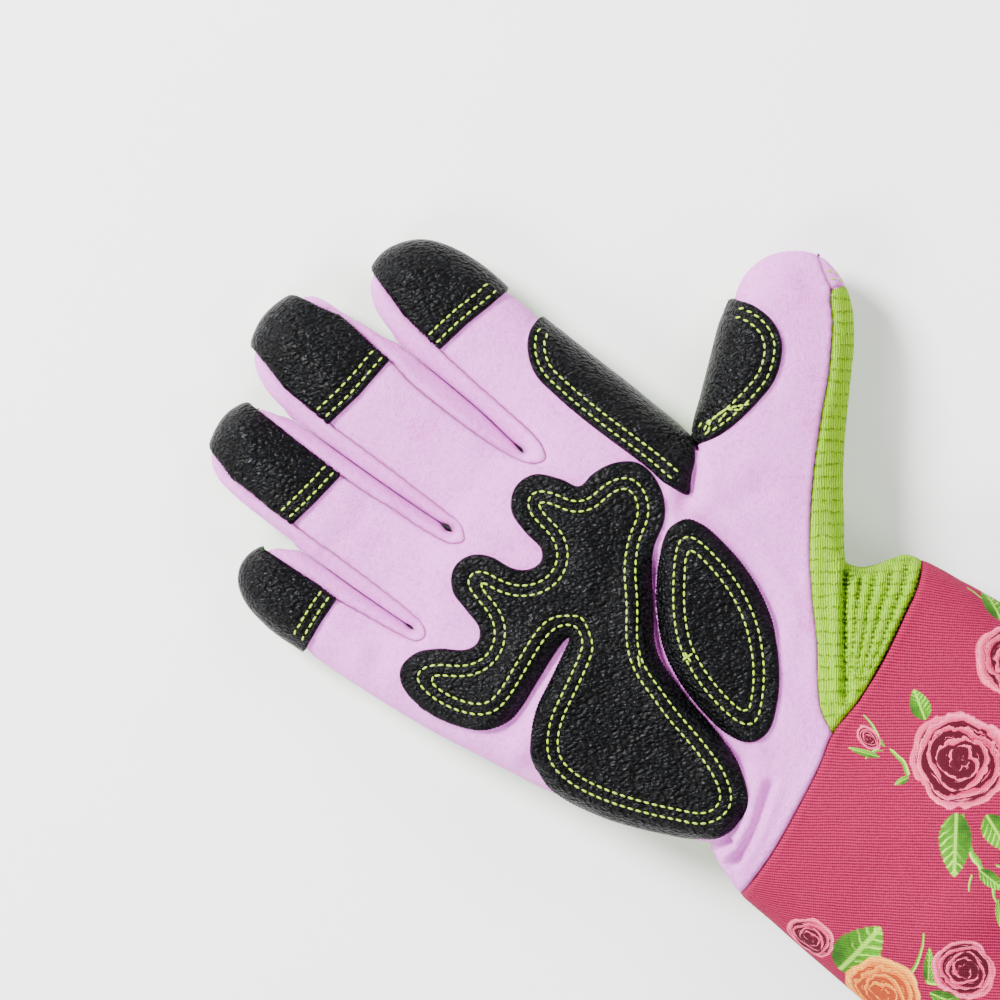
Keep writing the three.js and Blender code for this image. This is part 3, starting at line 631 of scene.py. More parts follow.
rim_fade = np.clip(rim_far / RIM_BAND, 0, 1)
seam_far = {}
for key, line in {"wrist": wrist_seam, "thumb": thumb_seam, "cap": cap_seam, **strip_seams}.items():
    seam_far[key] = nearest(plan, line)
patch_far = {}
patch_tris = {}
for name, _, outside, _, _ in PATCHES:
    edge = patch_edges[name]
    edge = np.vstack([edge, edge[:1]]) if outside is None else edge
    patch_far[name] = nearest(plan, edge)
    patch_tris[name] = inside(middles, patch_polygon(name, outside)) & ~in_cuff


# The swelled forms

def blend(a, b, t):
    """From a to b as t goes from 0 to 1, smooth at both ends."""
    t = np.clip(t, 0, 1)
    t = t * t * (3 - 2 * t)
    return a + (b - a) * t


x, y = plan.T
seam_z = np.interp(y, *zip(*SIDE_SEAM))
seam_z = blend(seam_z, THUMB_SEAM_HEIGHT, (x - THUMB_FROM) / 12 * (y > 15))
hand_rise = HAND_RISE * (1 - np.exp(-lift / HAND_SOFTNESS))
cuff_rise = CUFF_RISE * lift
rise = blend(hand_rise, cuff_rise, (20 - y) / 80)


def bumps(scale, seed):
    """Smooth noise over the plan, from about -1 to 1."""
    return np.array([noise.noise(Vector((px / scale + seed, py / scale, seed))) for px, py in plan])


def normals_of(points, faces):
    """Unit normals at the points of a sheet, from the faces round each."""
    a, b, c = (points[faces[:, i]] for i in range(3))
    n = np.cross(b - a, c - a)
    each = faces.ravel()
    total = np.column_stack([np.bincount(each, np.repeat(n[:, i], 3), len(points)) for i in range(3)])
    return total / np.maximum(np.linalg.norm(total, axis=1), 1e-12)[:, None]


def gauss(d, width):
    """A bell of height 1 about d of 0."""
    return np.exp(-(d / width) ** 2)


broad, small = bumps(*BROAD_BUMPS), bumps(*SMALL_BUMPS)
soft = (0.8 * broad + 0.3 * small) * rim_fade

relief = soft.copy()
for key, (far, along, _) in seam_far.items():
    pucker = np.cos(2 * math.pi * along / SEAM_PUCKERS + 2.2 * small) * gauss(far, 2.4)
    depth = SEAM_DEPTHS.get(key, STRIP_DEPTH)
    sewn = -depth * gauss(far, 0.55) + 0.22 * gauss(far - 1.5, 0.9) + 0.12 * pucker
    relief += sewn * (0.3 + 0.7 * rim_fade)
# Painted shade: crease darkens the suede along the folds and in the pits at the ends of the slits
crease = np.zeros(len(plan))
for line, depth, width in FOLDS:
    far, along, _ = nearest(plan, smooth_line(line, 1.0))
    ends = blend(0, 1, np.minimum(along, along.max() - along) / (3 * width))
    fold = 0.45 * gauss(far - 2.2 * width, width) - 1.25 * gauss(far, width)
    relief += depth * fold * ends * (0.3 + 0.7 * rim_fade)
    # painted shade along the middle of the fold
    crease = np.maximum(crease, 0.06 * depth * gauss(far, 0.6 * width) * ends)
for finger, pull in zip(OUTLINE[1:4], SLIT_ENDS):
    end_far = np.hypot(*(plan - finger[0]).T)
    relief -= 0.7 * pull * gauss(end_far - 1.2, 1.1)
    # painted shade in the pit at the end of the slit
    crease = np.maximum(crease, pull * gauss(end_far, 1.0))
covered = np.zeros(len(plan), bool)
for name in patch_tris:
    covered[np.unique(tris[patch_tris[name]])] = True
    relief -= 0.4 * gauss(patch_far[name][0], 1.6) * ~covered
wrist_far = seam_far["wrist"][0]
in_wrist = np.zeros(len(plan), bool)
in_wrist[np.unique(tris[in_knit])] = True
fold_far, _, fold_side = nearest(plan, smooth_line(GATHER_FOLD, 1.0))
in_gathers = in_wrist & (fold_side > 0) & (y < 30)
between = fold_far / np.maximum(fold_far + wrist_far, 1e-6)
gather = in_gathers * np.clip((fold_far + wrist_far) / 9, 0, 1) * np.clip(rim_far / 3, 0, 1)
ridge = -np.cos(2 * math.pi * (GATHERS * between + 0.12 * small)) * gather
relief += 0.65 * ridge
up_strip = UPWARD["x"] * x + UPWARD["y"] * y + small
strip_pucker = np.cos(2 * math.pi * up_strip / STRIP_PUCKERS) * in_wrist * ~in_gathers
relief += 0.13 * strip_pucker * np.clip(rim_far / 2, 0, 1)

# The hem of the cuff is a second layer, so its cloth stands a little proud beyond the stitching
hem = blend(0, 0.5, (HEM_Y - y) / 1.2) - 0.5 * gauss(y - HEM_Y, 0.7)
hem += 0.14 * np.cos(2 * math.pi * x / HEM_PUCKERS + 3 * small) * gauss(y - HEM_Y, 3.5)
relief += hem

top = np.column_stack([x, y, seam_z + PALM_SHARE * rise])
knit_rim = np.zeros(len(plan), bool)
knit_rim[np.unique(tris[in_knit | in_cuff])] = True
groove = np.where(on_rim & ~knit_rim, -0.4, 0)
top_normal = normals_of(top, tris)
top = top + top_normal * (relief + groove)[:, None]

# Neighbouring fingers lean together until they nearly touch
lean = np.zeros(len(plan))
for k, left, right in ((0, runs[0], runs[1]), (1, runs[1], runs[2]), (2, runs[2], runs[3])):
    to_left, to_right = nearest(plan, left)[0], nearest(plan, right)[0]
    between = to_left + to_right
    push = np.where(to_left < to_right, 1.0, -1.0) * np.maximum(between / 2 - 0.05, 0)
    near_slit = np.clip((2.4 - between) / 0.8, 0, 1)
    lean += push * near_slit * np.exp(-np.minimum(to_left, to_right) / 0.9)
top[:, 0] += lean

under = np.column_stack([x + lean, y, seam_z - BACK_SHARE * rise])
flipped = tris[:, ::-1]
under_normal = normals_of(under, flipped)
across_back = gauss(wrist_far - 11, 7.5) * (y > -4) * (y < 30)
back_relief = 0.7 * soft + 0.6 * np.cos(2 * math.pi * (wrist_far + small) / BACK_PUCKERS) * across_back
back_relief -= 0.9 * gauss(wrist_far, 0.6)
back_relief += hem
under = under + under_normal * (back_relief * rim_fade + groove)[:, None]

# Near the hidden rims the lower sheet keeps to the upper one, so that no green shows past the suede
under[:, :2] += (top[:, :2] - under[:, :2]) * (np.clip(1 - rim_far / RIM_BAND, 0, 1) * ~knit_rim)[:, None]
under[:, 2] = (under[:, 2] + np.sqrt(under[:, 2] ** 2 + PRESS ** 2)) / 2


# Pieces

def to_frame(points):
    """From plan millimetres to metres in the frame."""
    return (points + np.array([WRIST[0], WRIST[1], 0])) * MM


def dressed(name, mesh, material):
    """The object of a finished mesh, smooth and riding on the glove."""
    mesh.polygons.foreach_set("use_smooth", np.ones(len(mesh.polygons), bool))
    mesh.materials.append(material)
    made = bpy.data.objects.new(name, mesh)
    bpy.context.scene.collection.objects.link(made)
    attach(made, "root")
    return made


def piece(name, points, faces, material, nodes, wall, point_values=None, corner_values=None):
    """A piece of cloth from triangles in plan millimetres. wall thickens it inward."""
    used, place = np.unique(faces, return_inverse=True)
    mesh = bpy.data.meshes.new(name)
    mesh.from_pydata(to_frame(points[used]).tolist(), [], place.reshape(-1, 3).tolist())
    for key, values in (point_values or {}).items():
        layer = mesh.attributes.new(key, "FLOAT", "POINT")
        layer.data.foreach_set("value", np.ascontiguousarray(values[used], dtype=np.float32))
    for key, values in (corner_values or {}).items():
        layer = mesh.attributes.new(key, "FLOAT_VECTOR", "CORNER")
        layer.data.foreach_set("vector", np.ascontiguousarray(values, dtype=np.float32).ravel())
    made = dressed(name, mesh, material)
    thicken = made.modifiers.new("wall", "SOLIDIFY")
    thicken.thickness = wall * MM
    thicken.offset = -1
    if nodes:
        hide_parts(*nodes)


def weld(upper, upper_faces, lower, lower_faces, shared):
    """Upper and lower sheets as one tube, joined at the points of the outline that both use."""
    count = len(upper)
    moved = np.arange(count) + count
    moved[shared] = np.flatnonzero(shared)
    points = np.vstack([upper, lower])
    middle = (upper[shared] + lower[shared]) / 2
    points[np.flatnonzero(shared)] = middle
    return points, np.vstack([upper_faces, moved[lower_faces]])


# The printed cloth of the cuff

FLATNESS = 0.47  # the cuff's height over its width


def outline_side(run):
    """Along and across values of the cuff's stretch of one side of the outline."""
    stretch = sorted((along, across) for across, along in run if along <= 6)
    return np.array(stretch).T


def cloth_place(across, along, below):
    """Millimetres round the cuff from the middle of its palm side, and along it."""
    left = np.interp(along, *outline_side(LITTLE_SIDE))
    right = np.interp(along, *outline_side(THUMB_SIDE))
    half = (right - left) / 2
    angle = np.arcsin(np.clip((across - (right + left) / 2) / half, -1, 1))
    turn = np.linspace(0, math.pi / 2, 200)
    grown = np.concatenate([[0], np.cumsum(np.hypot(np.cos(turn[1:]), FLATNESS * np.sin(turn[1:])))])
    grown *= turn[1]
    arc = half * np.interp(np.abs(angle), turn, grown)
    arc = np.where(below, 2 * half * grown[-1] - arc, arc)
    return np.column_stack([np.sign(angle) * arc, along])


def in_motif(place, start, end, half_width):
    """Places in the frame of a motif: -1 to 1 along it and across it."""
    way = np.array(end, float) - start
    reach = np.hypot(*way) / 2
    way = way / (2 * reach)
    beside = np.array([-way[1], way[0]])
    offset = place - (np.array(start) + end) / 2
    return np.stack([offset @ way / reach, offset @ beside / half_width], -1)


def print_marks(cloth, faces):
    """Corner values that say where each face lies in the rose, the leaf and the stem printed on it."""
    corners = cloth[faces]
    centres = corners.mean(1)
    roses, leaves, stems = (np.full((len(faces), 3, 3), 9.0) for _ in range(3))
    for spray, across, along, turn in PRINT:
        c, n = math.cos(math.radians(turn)), math.sin(math.radians(turn))
        spin = np.array([[c, n], [-n, c]])
        for x0, y0, x1, y1, half_width, kind in SPRAYS[spray]["leaves"]:
            marks, bow = (stems, 1.2 * STEM_BEND) if kind == STEM else (leaves, 0.0)
            start, end = np.array([[x0, y0], [x1, y1]]) @ spin + (across, along)
            u, v = in_motif(centres, start, end, half_width).T
            reach = np.hypot(*(end - start)) / 2
            spare = PRINT_MARGIN / half_width
            held = (np.abs(u) < 1 + PRINT_MARGIN / reach) & (v < 1 + spare) & (v > -1 - bow - spare)
            marks[held, :, :2] = in_motif(corners[held], start, end, half_width)
        for x0, y0, radius, spun, tint in SPRAYS[spray]["roses"]:
            centre = np.array([x0, y0]) @ spin + (across, along)
            a = math.radians(spun + turn)
            end = centre + np.array([math.cos(a), math.sin(a)]) * radius
            held = np.hypot(*(centres - centre).T) < radius + PRINT_MARGIN
            across_it = radius * (BUD_WIDTH if radius < BUD_RADIUS else 1)
            roses[held, :, :2] = in_motif(corners[held], 2 * centre - end, end, across_it)
            roses[held, :, 2] = tint
    return {"rose": roses, "leaf": leaves, "stem": stems}


# Shader wiring

class Wire:
    """A shader value that ordinary Python arithmetic adds Math nodes to."""

    def __init__(self, paint, socket):
        self.paint, self.socket = paint, socket

    def do(self, operation, *values):
        made = self.paint.node("ShaderNodeMath", {"operation": operation}, dict(enumerate((self, *values))))
        return Wire(self.paint, made.outputs[0])

    def __add__(self, other):
        return self.do("ADD", other)

    def __radd__(self, other):
        return self.do("ADD", other)

    def __sub__(self, other):
        return self.do("SUBTRACT", other)

    def __rsub__(self, other):
        return (self * -1) + other

    def __mul__(self, other):
        return self.do("MULTIPLY", other)

    def __rmul__(self, other):
        return self.do("MULTIPLY", other)

    def __truediv__(self, other):
        return self.do("DIVIDE", other)

    def __pow__(self, other):
        return self.do("POWER", other)

    def least(self, other):
        return self.do("MINIMUM", other)

    def most(self, other):
        return self.do("MAXIMUM", other)

    def size(self):
        return self.do("ABSOLUTE")

    def part(self):
        """What is left over the whole number below."""
        return self.do("FRACT")

    def wave(self, pitch):
        """A ripple from 0 to 1 that repeats every pitch."""
        return (self * (2 * math.pi / pitch)).do("SINE") * 0.5 + 0.5

    def ramp(self, low, high):
        """0 below low, 1 above high and smooth between them."""
        values = {0: self, 1: low, 2: high, 3: 0.0, 4: 1.0}
        made = self.paint.node("ShaderNodeMapRange", {"interpolation_type": "SMOOTHSTEP"}, values)
        return Wire(self.paint, made.outputs[0])


class Paint:
    """A new material and the nodes that colour it."""

    def __init__(self, name, roughness=0.9, **uniform):
        self.material = bpy.data.materials.new(name)
        self.material.use_nodes = True
        self.tree = self.material.node_tree
        self.shader = self.tree.nodes["Principled BSDF"]
        self.shader.inputs["Roughness"].default_value = roughness
        for key, value in uniform.items():
            self.shader.inputs[key.replace("_", " ")].default_value = value
        place = self.node("ShaderNodeTexCoord").outputs["Object"]
        scaled = self.node("ShaderNodeVectorMath", {"operation": "SCALE"}, {0: place, "Scale": 1000.0})
        self.place = scaled.outputs[0]  # in millimetres

    def node(self, kind, settings=None, values=None):
        made = self.tree.nodes.new(kind)
        for key, value in (settings or {}).items():
            setattr(made, key, value)
        for key, value in (values or {}).items():
            value = value.socket if isinstance(value, Wire) else value
            if isinstance(value, bpy.types.NodeSocket):
                self.tree.links.new(value, made.inputs[key])
            else:
                made.inputs[key].default_value = value
        return made

    def axis(self, x=0.0, y=0.0, z=0.0):
        """The place along a direction, in millimetres."""
        made = self.node("ShaderNodeVectorMath", {"operation": "DOT_PRODUCT"}, {0: self.place, 1: (x, y, z)})
        return Wire(self, made.outputs["Value"])

    def noise(self, size, detail=2.0, rough=0.5):
        values = {"Vector": self.place, "Scale": 1 / size, "Detail": detail, "Roughness": rough}
        return Wire(self, self.node("ShaderNodeTexNoise", {}, values).outputs[0])

    def cells(self, size, feature, place):
        values = {"Vector": place, "Scale": 1 / size}
        return Wire(self, self.node("ShaderNodeTexVoronoi", {"feature": feature}, values).outputs["Distance"])

    def value(self, name):
        return Wire(self, self.node("ShaderNodeAttribute", {"attribute_name": name}).outputs["Fac"])

    def parts(self, name):
        """The three values of a vector attribute."""
        found = self.node("ShaderNodeAttribute", {"attribute_name": name}).outputs["Vector"]
        split = self.node("ShaderNodeSeparateXYZ", {}, {0: found})
        return [Wire(self, output) for output in split.outputs]

    def mix(self, factor, a, b):
        made = self.node("ShaderNodeMix", {"data_type": "RGBA"}, {0: factor, 6: shade(a), 7: shade(b)})
        return made.outputs[2]

    def colour(self, socket):
        self.tree.links.new(socket, self.shader.inputs["Base Color"])

    def rough(self, wire):
        self.tree.links.new(wire.socket, self.shader.inputs["Roughness"])

    def bump(self, height, strength, distance):
        """height is a wire from 0 to 1, distance its full depth in millimetres."""
        values = {"Strength": strength, "Distance": distance * MM, "Height": height}
        made = self.node("ShaderNodeBump", {}, values)
        self.tree.links.new(made.outputs[0], self.shader.inputs["Normal"])


def shade(value):
    """A colour for a socket: an sRGB triple from 0 to 255 becomes linear, a link stays."""
    if not isinstance(value, tuple):
        return value
    linear = [c / 255 for c in value]
    linear = [c / 12.92 if c <= 0.04045 else ((c + 0.055) / 1.055) ** 2.4 for c in linear]
    return (*linear, 1.0)


# The finishes

def lilac_suede():
    """Pale fuzz over a darker nap, dark along the seams, and painted shade in the creases of the folds and in
    the pits at the ends of the slits.
    """
    paint = Paint("suede_lilac", 0.95, Sheen_Weight=0.12, Sheen_Roughness=0.6, Specular_IOR_Level=0.1)
    fuzz = paint.noise(0.34, 3, 0.75)
    nap = paint.noise(1.3, 3, 0.65)
    cloud = paint.noise(11, 3)
    tone = (fuzz * 0.9 + nap * 0.45 + cloud * 0.3).ramp(0.52, 0.94)
    cloth = paint.mix(tone, LILAC_DARK, LILAC_LIGHT)
    # The seam attribute holds the dark seam lines and the painted shade of the creases and slit ends
    seam = paint.value("seam")
    paint.colour(paint.mix(seam, cloth, LILAC_SEAM_AND_SHADE))
    paint.bump(fuzz * 1.2 + nap * 0.9, 1.0, 0.55)
    return paint.material


def black_leather():
    """Close shiny pebbles that run along the photograph's sideways direction."""
    paint = Paint("leather_black", 0.34, Specular_IOR_Level=0.08)
    along = paint.axis(**ASIDE)
    across = paint.axis(**UPWARD)
    drift = paint.noise(1.9, 2)
    height = paint.axis(z=1.0)
    spread = {0: along * 0.62 + drift * 1.3, 1: across + drift * 1.6, 2: height}
    pebble = paint.cells(0.72, "SMOOTH_F1", paint.node("ShaderNodeCombineXYZ", {}, spread).outputs[0])
    crease = paint.noise(5.5, 2, 0.6)
    # Painted highlight and shade: pebble tops lighter, the gaps between them darker, with random tone from
    # the broad noise
    tone = (1 - pebble * 1.5).ramp(0.15, 0.8) * (crease * 0.9 + 0.5)
    paint.colour(paint.mix(tone.least(1.0), LEATHER_GAP_SHADE, LEATHER_TOP_HIGHLIGHT))
    paint.rough(0.42 - tone * 0.14)
    paint.bump(1 - pebble * 1.3, 1.0, 0.6)
    return paint.material


def green_knit():
    """Fine ribs with rows of small holes, and painted shade in the grooves of the gathers and along their
    fold.
    """
    paint = Paint("knit_green", 0.9, Specular_IOR_Level=0.1)
    drift = paint.noise(5, 2)
    fuzz = paint.noise(0.45, 3, 0.75)
    side = paint.axis(**ASIDE) + drift * 1.2
    up = paint.axis(**UPWARD) + drift * 1.8
    ribs = side.wave(0.62)
    dashes = paint.noise(0.85, 1).ramp(0.42, 0.58)
    rows = up.wave(3.1).ramp(0.8, 1.0) * dashes
    tone = ribs * 0.3 + fuzz * 0.8
    cloth = paint.mix(tone.ramp(0.35, 0.8), GREEN_DARK, GREEN_LIGHT)
    cloth = paint.mix(rows * 0.5, cloth, GREEN_HOLE_AND_SHADE)
    # Painted shade: the knit darkens in the gather grooves, broken into rows of holes
    holes = paint.value("shadow") * (up.wave(1.25) * 0.7 + dashes * 0.5)
    paint.colour(paint.mix(holes.least(0.92), cloth, GREEN_HOLE_AND_SHADE))
    paint.bump(ribs * 0.6 + fuzz * 0.6 - rows - holes, 0.8, 0.5)
    return paint.material


def thread(name, light, dark):
    """Twisted sewing thread."""
    paint = Paint(name, 0.6, Specular_IOR_Level=0.25)
    twist = (paint.axis(**ASIDE) + paint.axis(**UPWARD)).wave(0.45)
    paint.colour(paint.mix(twist * paint.noise(0.8, 1), light, dark))
    paint.bump(twist, 0.4, 0.1)
    return paint.material


def printed_rose(paint, ground, wobble):
    """The ground with the rose over it: petals in a loose spiral, dark between them."""
    u, v, tint = paint.parts("rose")
    u = u + (wobble - 0.5) * 0.16
    r = (u * u + v * v).do("SQRT")
    turn = v.do("ARCTAN2", u) / (2 * math.pi)
    lobes = (turn * 2.5 * math.pi).do("SINE").size()
    small_lobes = (turn * 7 * math.pi + 0.8).do("SINE").size()
    edge = 0.82 + lobes * 0.11 + small_lobes * 0.06
    spiral = r / edge * 4.9 + turn + wobble * 0.8
    ring = spiral.do("FLOOR")
    bow = ((turn * 2.5 + ring * 0.37).part() * math.pi).do("SINE")
    petal = (spiral - bow * 0.34 + small_lobes * 0.16 + 0.2).part()
    heavy = (1.12 - r * 0.95) * (bow * 0.6 + 0.5) + (turn * 2 * math.pi - 2.2).do("COSINE") * 0.2
    heavy = heavy + (wobble - 0.5) * 0.9
    gap = 1 - (petal - heavy.most(0.05)).ramp(-0.03, 0.03)
    gap = gap * (1 - (r / edge).ramp(0.84, 0.9))
    heart = 1 - (r + (wobble - 0.5) * 0.5).ramp(0.1, 0.16)
    gap = gap.most(heart)
    pale = petal.ramp(0.45, 1.0) * 0.6 + (r / edge).ramp(0.7, 1.0) * 0.5
    is_peach = 1 - (tint - PEACH).size().ramp(0.2, 0.4)
    thin = (spiral * 2.3 + wobble * 1.4 - bow * 0.6).part()
    thin = (1 - (thin - 0.1).size().ramp(0.03, 0.12)) * (r / edge).ramp(0.35, 0.6)
    thin = thin * (1 - (r / edge).ramp(0.86, 0.93)) * (wobble - 0.35).ramp(0.0, 0.2)
    petals = paint.mix(pale, PETAL_DARK, PETAL_LIGHT)
    petals = paint.mix(is_peach, petals, paint.mix(pale, PEACH_DARK, PEACH_LIGHT))
    dark = paint.mix(is_peach, BURGUNDY, PEACH_LINE)
    flower = paint.mix((gap * 0.94).most(thin * 0.8), petals, dark)
    return paint.mix(1 - (r / edge).ramp(0.97, 1.0), ground, flower)


def printed_leaf(paint, ground, wobble):
    """The ground with the leaf over it: a pale rib and veins on two greens."""
    u, v, _ = paint.parts("leaf")
    open_width = (1 - u * u).most(0.0) ** 0.72 * (1 - u * 0.28)
    teeth = (u * 5.5 + 0.3).part() * 0.12
    width = open_width - teeth * open_width
    filled = 1 - (v.size() - width).ramp(-0.06, 0.06)
    filled = filled * (1 - (u.size() - 1).ramp(-0.02, 0.02))
    rib = 1 - v.size().ramp(0.05, 0.14)
    vein = (u * 3.4 - v.size() * 1.7 + wobble * 0.9).part()
    streaks = (1 - vein.ramp(0.08, 0.4)) * (u * 0.5 - v * 0.6 + wobble).ramp(0.2, 0.9)
    light = (rib * 0.7).most(streaks)
    shade_side = v.ramp(-0.5, 0.6) * 0.55 + (wobble - u * 0.3).ramp(0.3, 0.8) * 0.45
    leaf = paint.mix(light, paint.mix(shade_side, LEAF_MIDDLE, LEAF_DARK), LEAF_LIGHT)
    return paint.mix(filled, ground, leaf)


def printed_stem(paint, ground, wobble):
    """The ground with the bowed stem over it, lighter along one side."""
    u, v, _ = paint.parts("stem")
    v = v + (1 - u * u) * STEM_BEND * (wobble * 0.8 + 0.6)
    filled = 1 - (v.size() - (1 - u * 0.35)).ramp(-0.12, 0.12)
    filled = filled * (1 - (u.size() - 1).ramp(-0.03, 0.03))
    return paint.mix(filled, ground, paint.mix(v.ramp(-0.7, 0.6), LEAF_LIGHT, LEAF_MIDDLE))


def pink_knit(name, with_print):
    """The cuff's ribbed knit, with or without its printed sprays."""
    paint = Paint(name, 0.88, Specular_IOR_Level=0.1)
    drift = paint.noise(6, 2)
    if with_print:
        around, along, _ = paint.parts("cloth")
    else:
        around, along = paint.axis(x=1.0), paint.axis(y=1.0)
    ribs = (around * UPWARD["x"] + along * UPWARD["y"] + drift * 0.5).wave(0.78)
    loops = (around * ASIDE["x"] + along * ASIDE["y"] + drift * 0.6).wave(0.5)
    fuzz = paint.noise(0.5, 2, 0.7)
    wobble = paint.noise(2.3, 2)
    tone = (ribs * 0.45 + loops * 0.25 + fuzz * 0.6).ramp(0.25, 0.95)
    cloth = paint.mix(tone, PINK_DARK, PINK_LIGHT)
    if with_print:
        cloth = printed_stem(paint, cloth, wobble)
        cloth = printed_leaf(paint, cloth, wobble)
        cloth = printed_rose(paint, cloth, wobble)
    paint.colour(paint.mix((1 - tone) * 0.16, cloth, PINK_DARK))
    paint.bump(ribs * 0.6 + loops * 0.3 + fuzz * 0.2, 0.6, 0.35)
    return paint.material


suede = lilac_suede()
leather = black_leather()
knit = green_knit()
lime = thread("thread_lime", THREAD_LIGHT, THREAD_DARK)
pink_thread = thread("thread_pink", PETAL_LIGHT, PINK_LIGHT)
rose_knit = pink_knit("knit_pink", True)
plain_pink = pink_knit("knit_pink_plain", False)


# Dress the glove

seam_near = np.min([far for far, _, _ in seam_far.values()], axis=0)
sewn_dark = np.where(seam_near < 0.1, 0.7, np.where(seam_near < 0.5, 0.25, 0.0))
# Dark seam lines, joined by the painted shade of the creases and slit ends
seam_and_crease_shade = {"seam": np.maximum(sewn_dark, crease)}
# Painted shade in the grooves of the wrist gathers and along the fold where they tuck under
gather_shade = np.clip(-1.25 * ridge - 0.1, 0, 1) + gauss(fold_far, 0.7) * in_wrist * (y < 21) * 0.8

piece("palm_suede", top, tris[in_front], suede, ["palm_panel"], SUEDE, seam_and_crease_shade)
for name, where in in_strip.items():
    piece(name + "_suede", top, tris[where], suede, [name], SUEDE, seam_and_crease_shade)
cap_points, cap_faces = weld(top, tris[in_cap], under, flipped[in_back_cap & ~in_cuff], on_rim & (y > 0))
# The cap's suede carries the same dark seam lines and painted crease shade
cap_mark = {"seam": np.concatenate([seam_and_crease_shade["seam"], np.zeros(len(plan))])}
piece("thumb_cap_suede", cap_points, cap_faces, suede, ["thumb_tip_cap"], SUEDE, cap_mark)
knit_top = np.zeros(len(plan), bool)
knit_top[np.unique(tris[in_knit])] = True
in_back = ~in_cuff & ~in_back_cap
back_points, back_faces = weld(top, tris[in_knit], under, flipped[in_back], on_rim & knit_top)
back_mark = {"shadow": np.concatenate([gather_shade, np.zeros(len(plan))])}
piece("back_knit", back_points, back_faces, knit, ["back_panel"], KNIT, back_mark)
cuff_points, cuff_faces = weld(top, tris[in_cuff], under, flipped[in_cuff], on_rim & (y < 8))
is_below = np.arange(len(cuff_points)) >= len(plan)
cloth = cloth_place(cuff_points[:, 0], cuff_points[:, 1], is_below)
cuff_print = print_marks(cloth, cuff_faces)
cuff_print["cloth"] = np.pad(cloth[cuff_faces], ((0, 0), (0, 0), (0, 1)))
piece("cuff_knit", cuff_points, cuff_faces, rose_knit, ["cuff"], CUFF_CLOTH, None, cuff_print)


def cuff_hem():
    """The turned-in layer inside the mouth, the rounded fold at the edge and the stitched rows."""
    normal = normals_of(cuff_points, cuff_faces)
    near_mouth = cuff_points[cuff_faces][..., 1].mean(1) < HEM_Y + 1.5
    inner = cuff_points - normal * (CUFF_CLOTH + 0.15)
    piece("hem_inside", inner, cuff_faces[near_mouth], plain_pink, (), HEM_CLOTH)
    used = np.unique(cuff_faces)
    lip = used[plan[used % len(plan), 1] < mouth_y + 0.01]
    ring = cuff_points[lip] - normal[lip] * 1.5
    middle = ring[:, [0, 2]].mean(0)
    order = np.argsort(np.arctan2((ring[:, 2] - middle[1]) * 2, ring[:, 0] - middle[0]))
    ring = to_frame(np.column_stack([ring[order, 0], np.full(len(ring), mouth_y + 0.3), ring[order, 2]]))
    path = bpy.data.curves.new("hem_fold", "CURVE")
    path.dimensions = "3D"
    path.bevel_depth = 1.52 * MM
    path.bevel_resolution = 3
    spline = path.splines.new("POLY")
    spline.points.add(len(ring) - 1)
    spline.points.foreach_set("co", np.column_stack([ring, np.ones(len(ring))]).ravel())
    spline.use_cyclic_u = True
    rough = bpy.data.objects.new("hem_fold_path", path)
    mesh = bpy.data.meshes.new_from_object(rough)
    bpy.data.objects.remove(rough)
    mesh.materials.clear()
    dressed("hem_fold", mesh, plain_pink)
    across = [even_line(HEM_LINE + (0, below), LINE_STEP) for below in (-1.0, -3.4)]
    for name, surface, faces, above in (
        ("hem_stitches_palm", top, tris[in_cuff], 1),
        ("hem_stitches_back", under, flipped[in_cuff], -1),
    ):
        reach = [line[nearest(line, outline)[0] > 1.0] for line in across]
        stitches(name, reach, surface, faces, HEM_STITCH, pink_thread, above)


def rounded(ring, passes):
    """A closed line with its sharp turns eased."""
    ring = ring[:-1]
    for _ in range(passes):
        ring = (np.roll(ring, 1, axis=0) + 2 * ring + np.roll(ring, -1, axis=0)) / 4
    return np.vstack([ring, ring[:1]])


def row_lines(name, outside, rows, follow):
    """The stitched rows of a patch, as lines in plan."""
    if outside is None:
        return [rounded(inset_line(patch_edges[name], True, row, LINE_STEP), ROW_PASSES) for row in rows]
    base = smooth_line(follow, LINE_STEP)
    if name in TIPS:
        margin = 1.2
        lines = [base + (0, row) for row in rows]
    else:
        margin = 1.4
        lines = [inset_line(base, False, row, LINE_STEP) for row in rows]
    polygon = patch_polygon(name, outside)
    return [line[inside(line, polygon) & (nearest(line, outline)[0] > margin)] for line in lines]


def patch_piece(name, lines):
    """A patch laid on the suede: rounded at its edge and sunk along its stitched rows."""
    far = patch_far[name][0]
    edge = np.clip(far / 0.55, 0, 1)
    height = PATCH * np.sqrt(1 - (1 - edge) ** 2) + 0.35 * np.clip((far - 1) / 6, 0, 1)
    for line in lines:
        height -= ROW_DEPTH * gauss(nearest(plan, line)[0], 0.6)
    height += 0.25 * small * np.clip(far, 0, 1)
    raised = top + normals_of(top, tris) * (height + 0.06)[:, None]
    faces = tris[patch_tris[name]]
    piece(name + "_leather", raised, faces, leather, [name], PATCH_WALL)
    return raised, faces


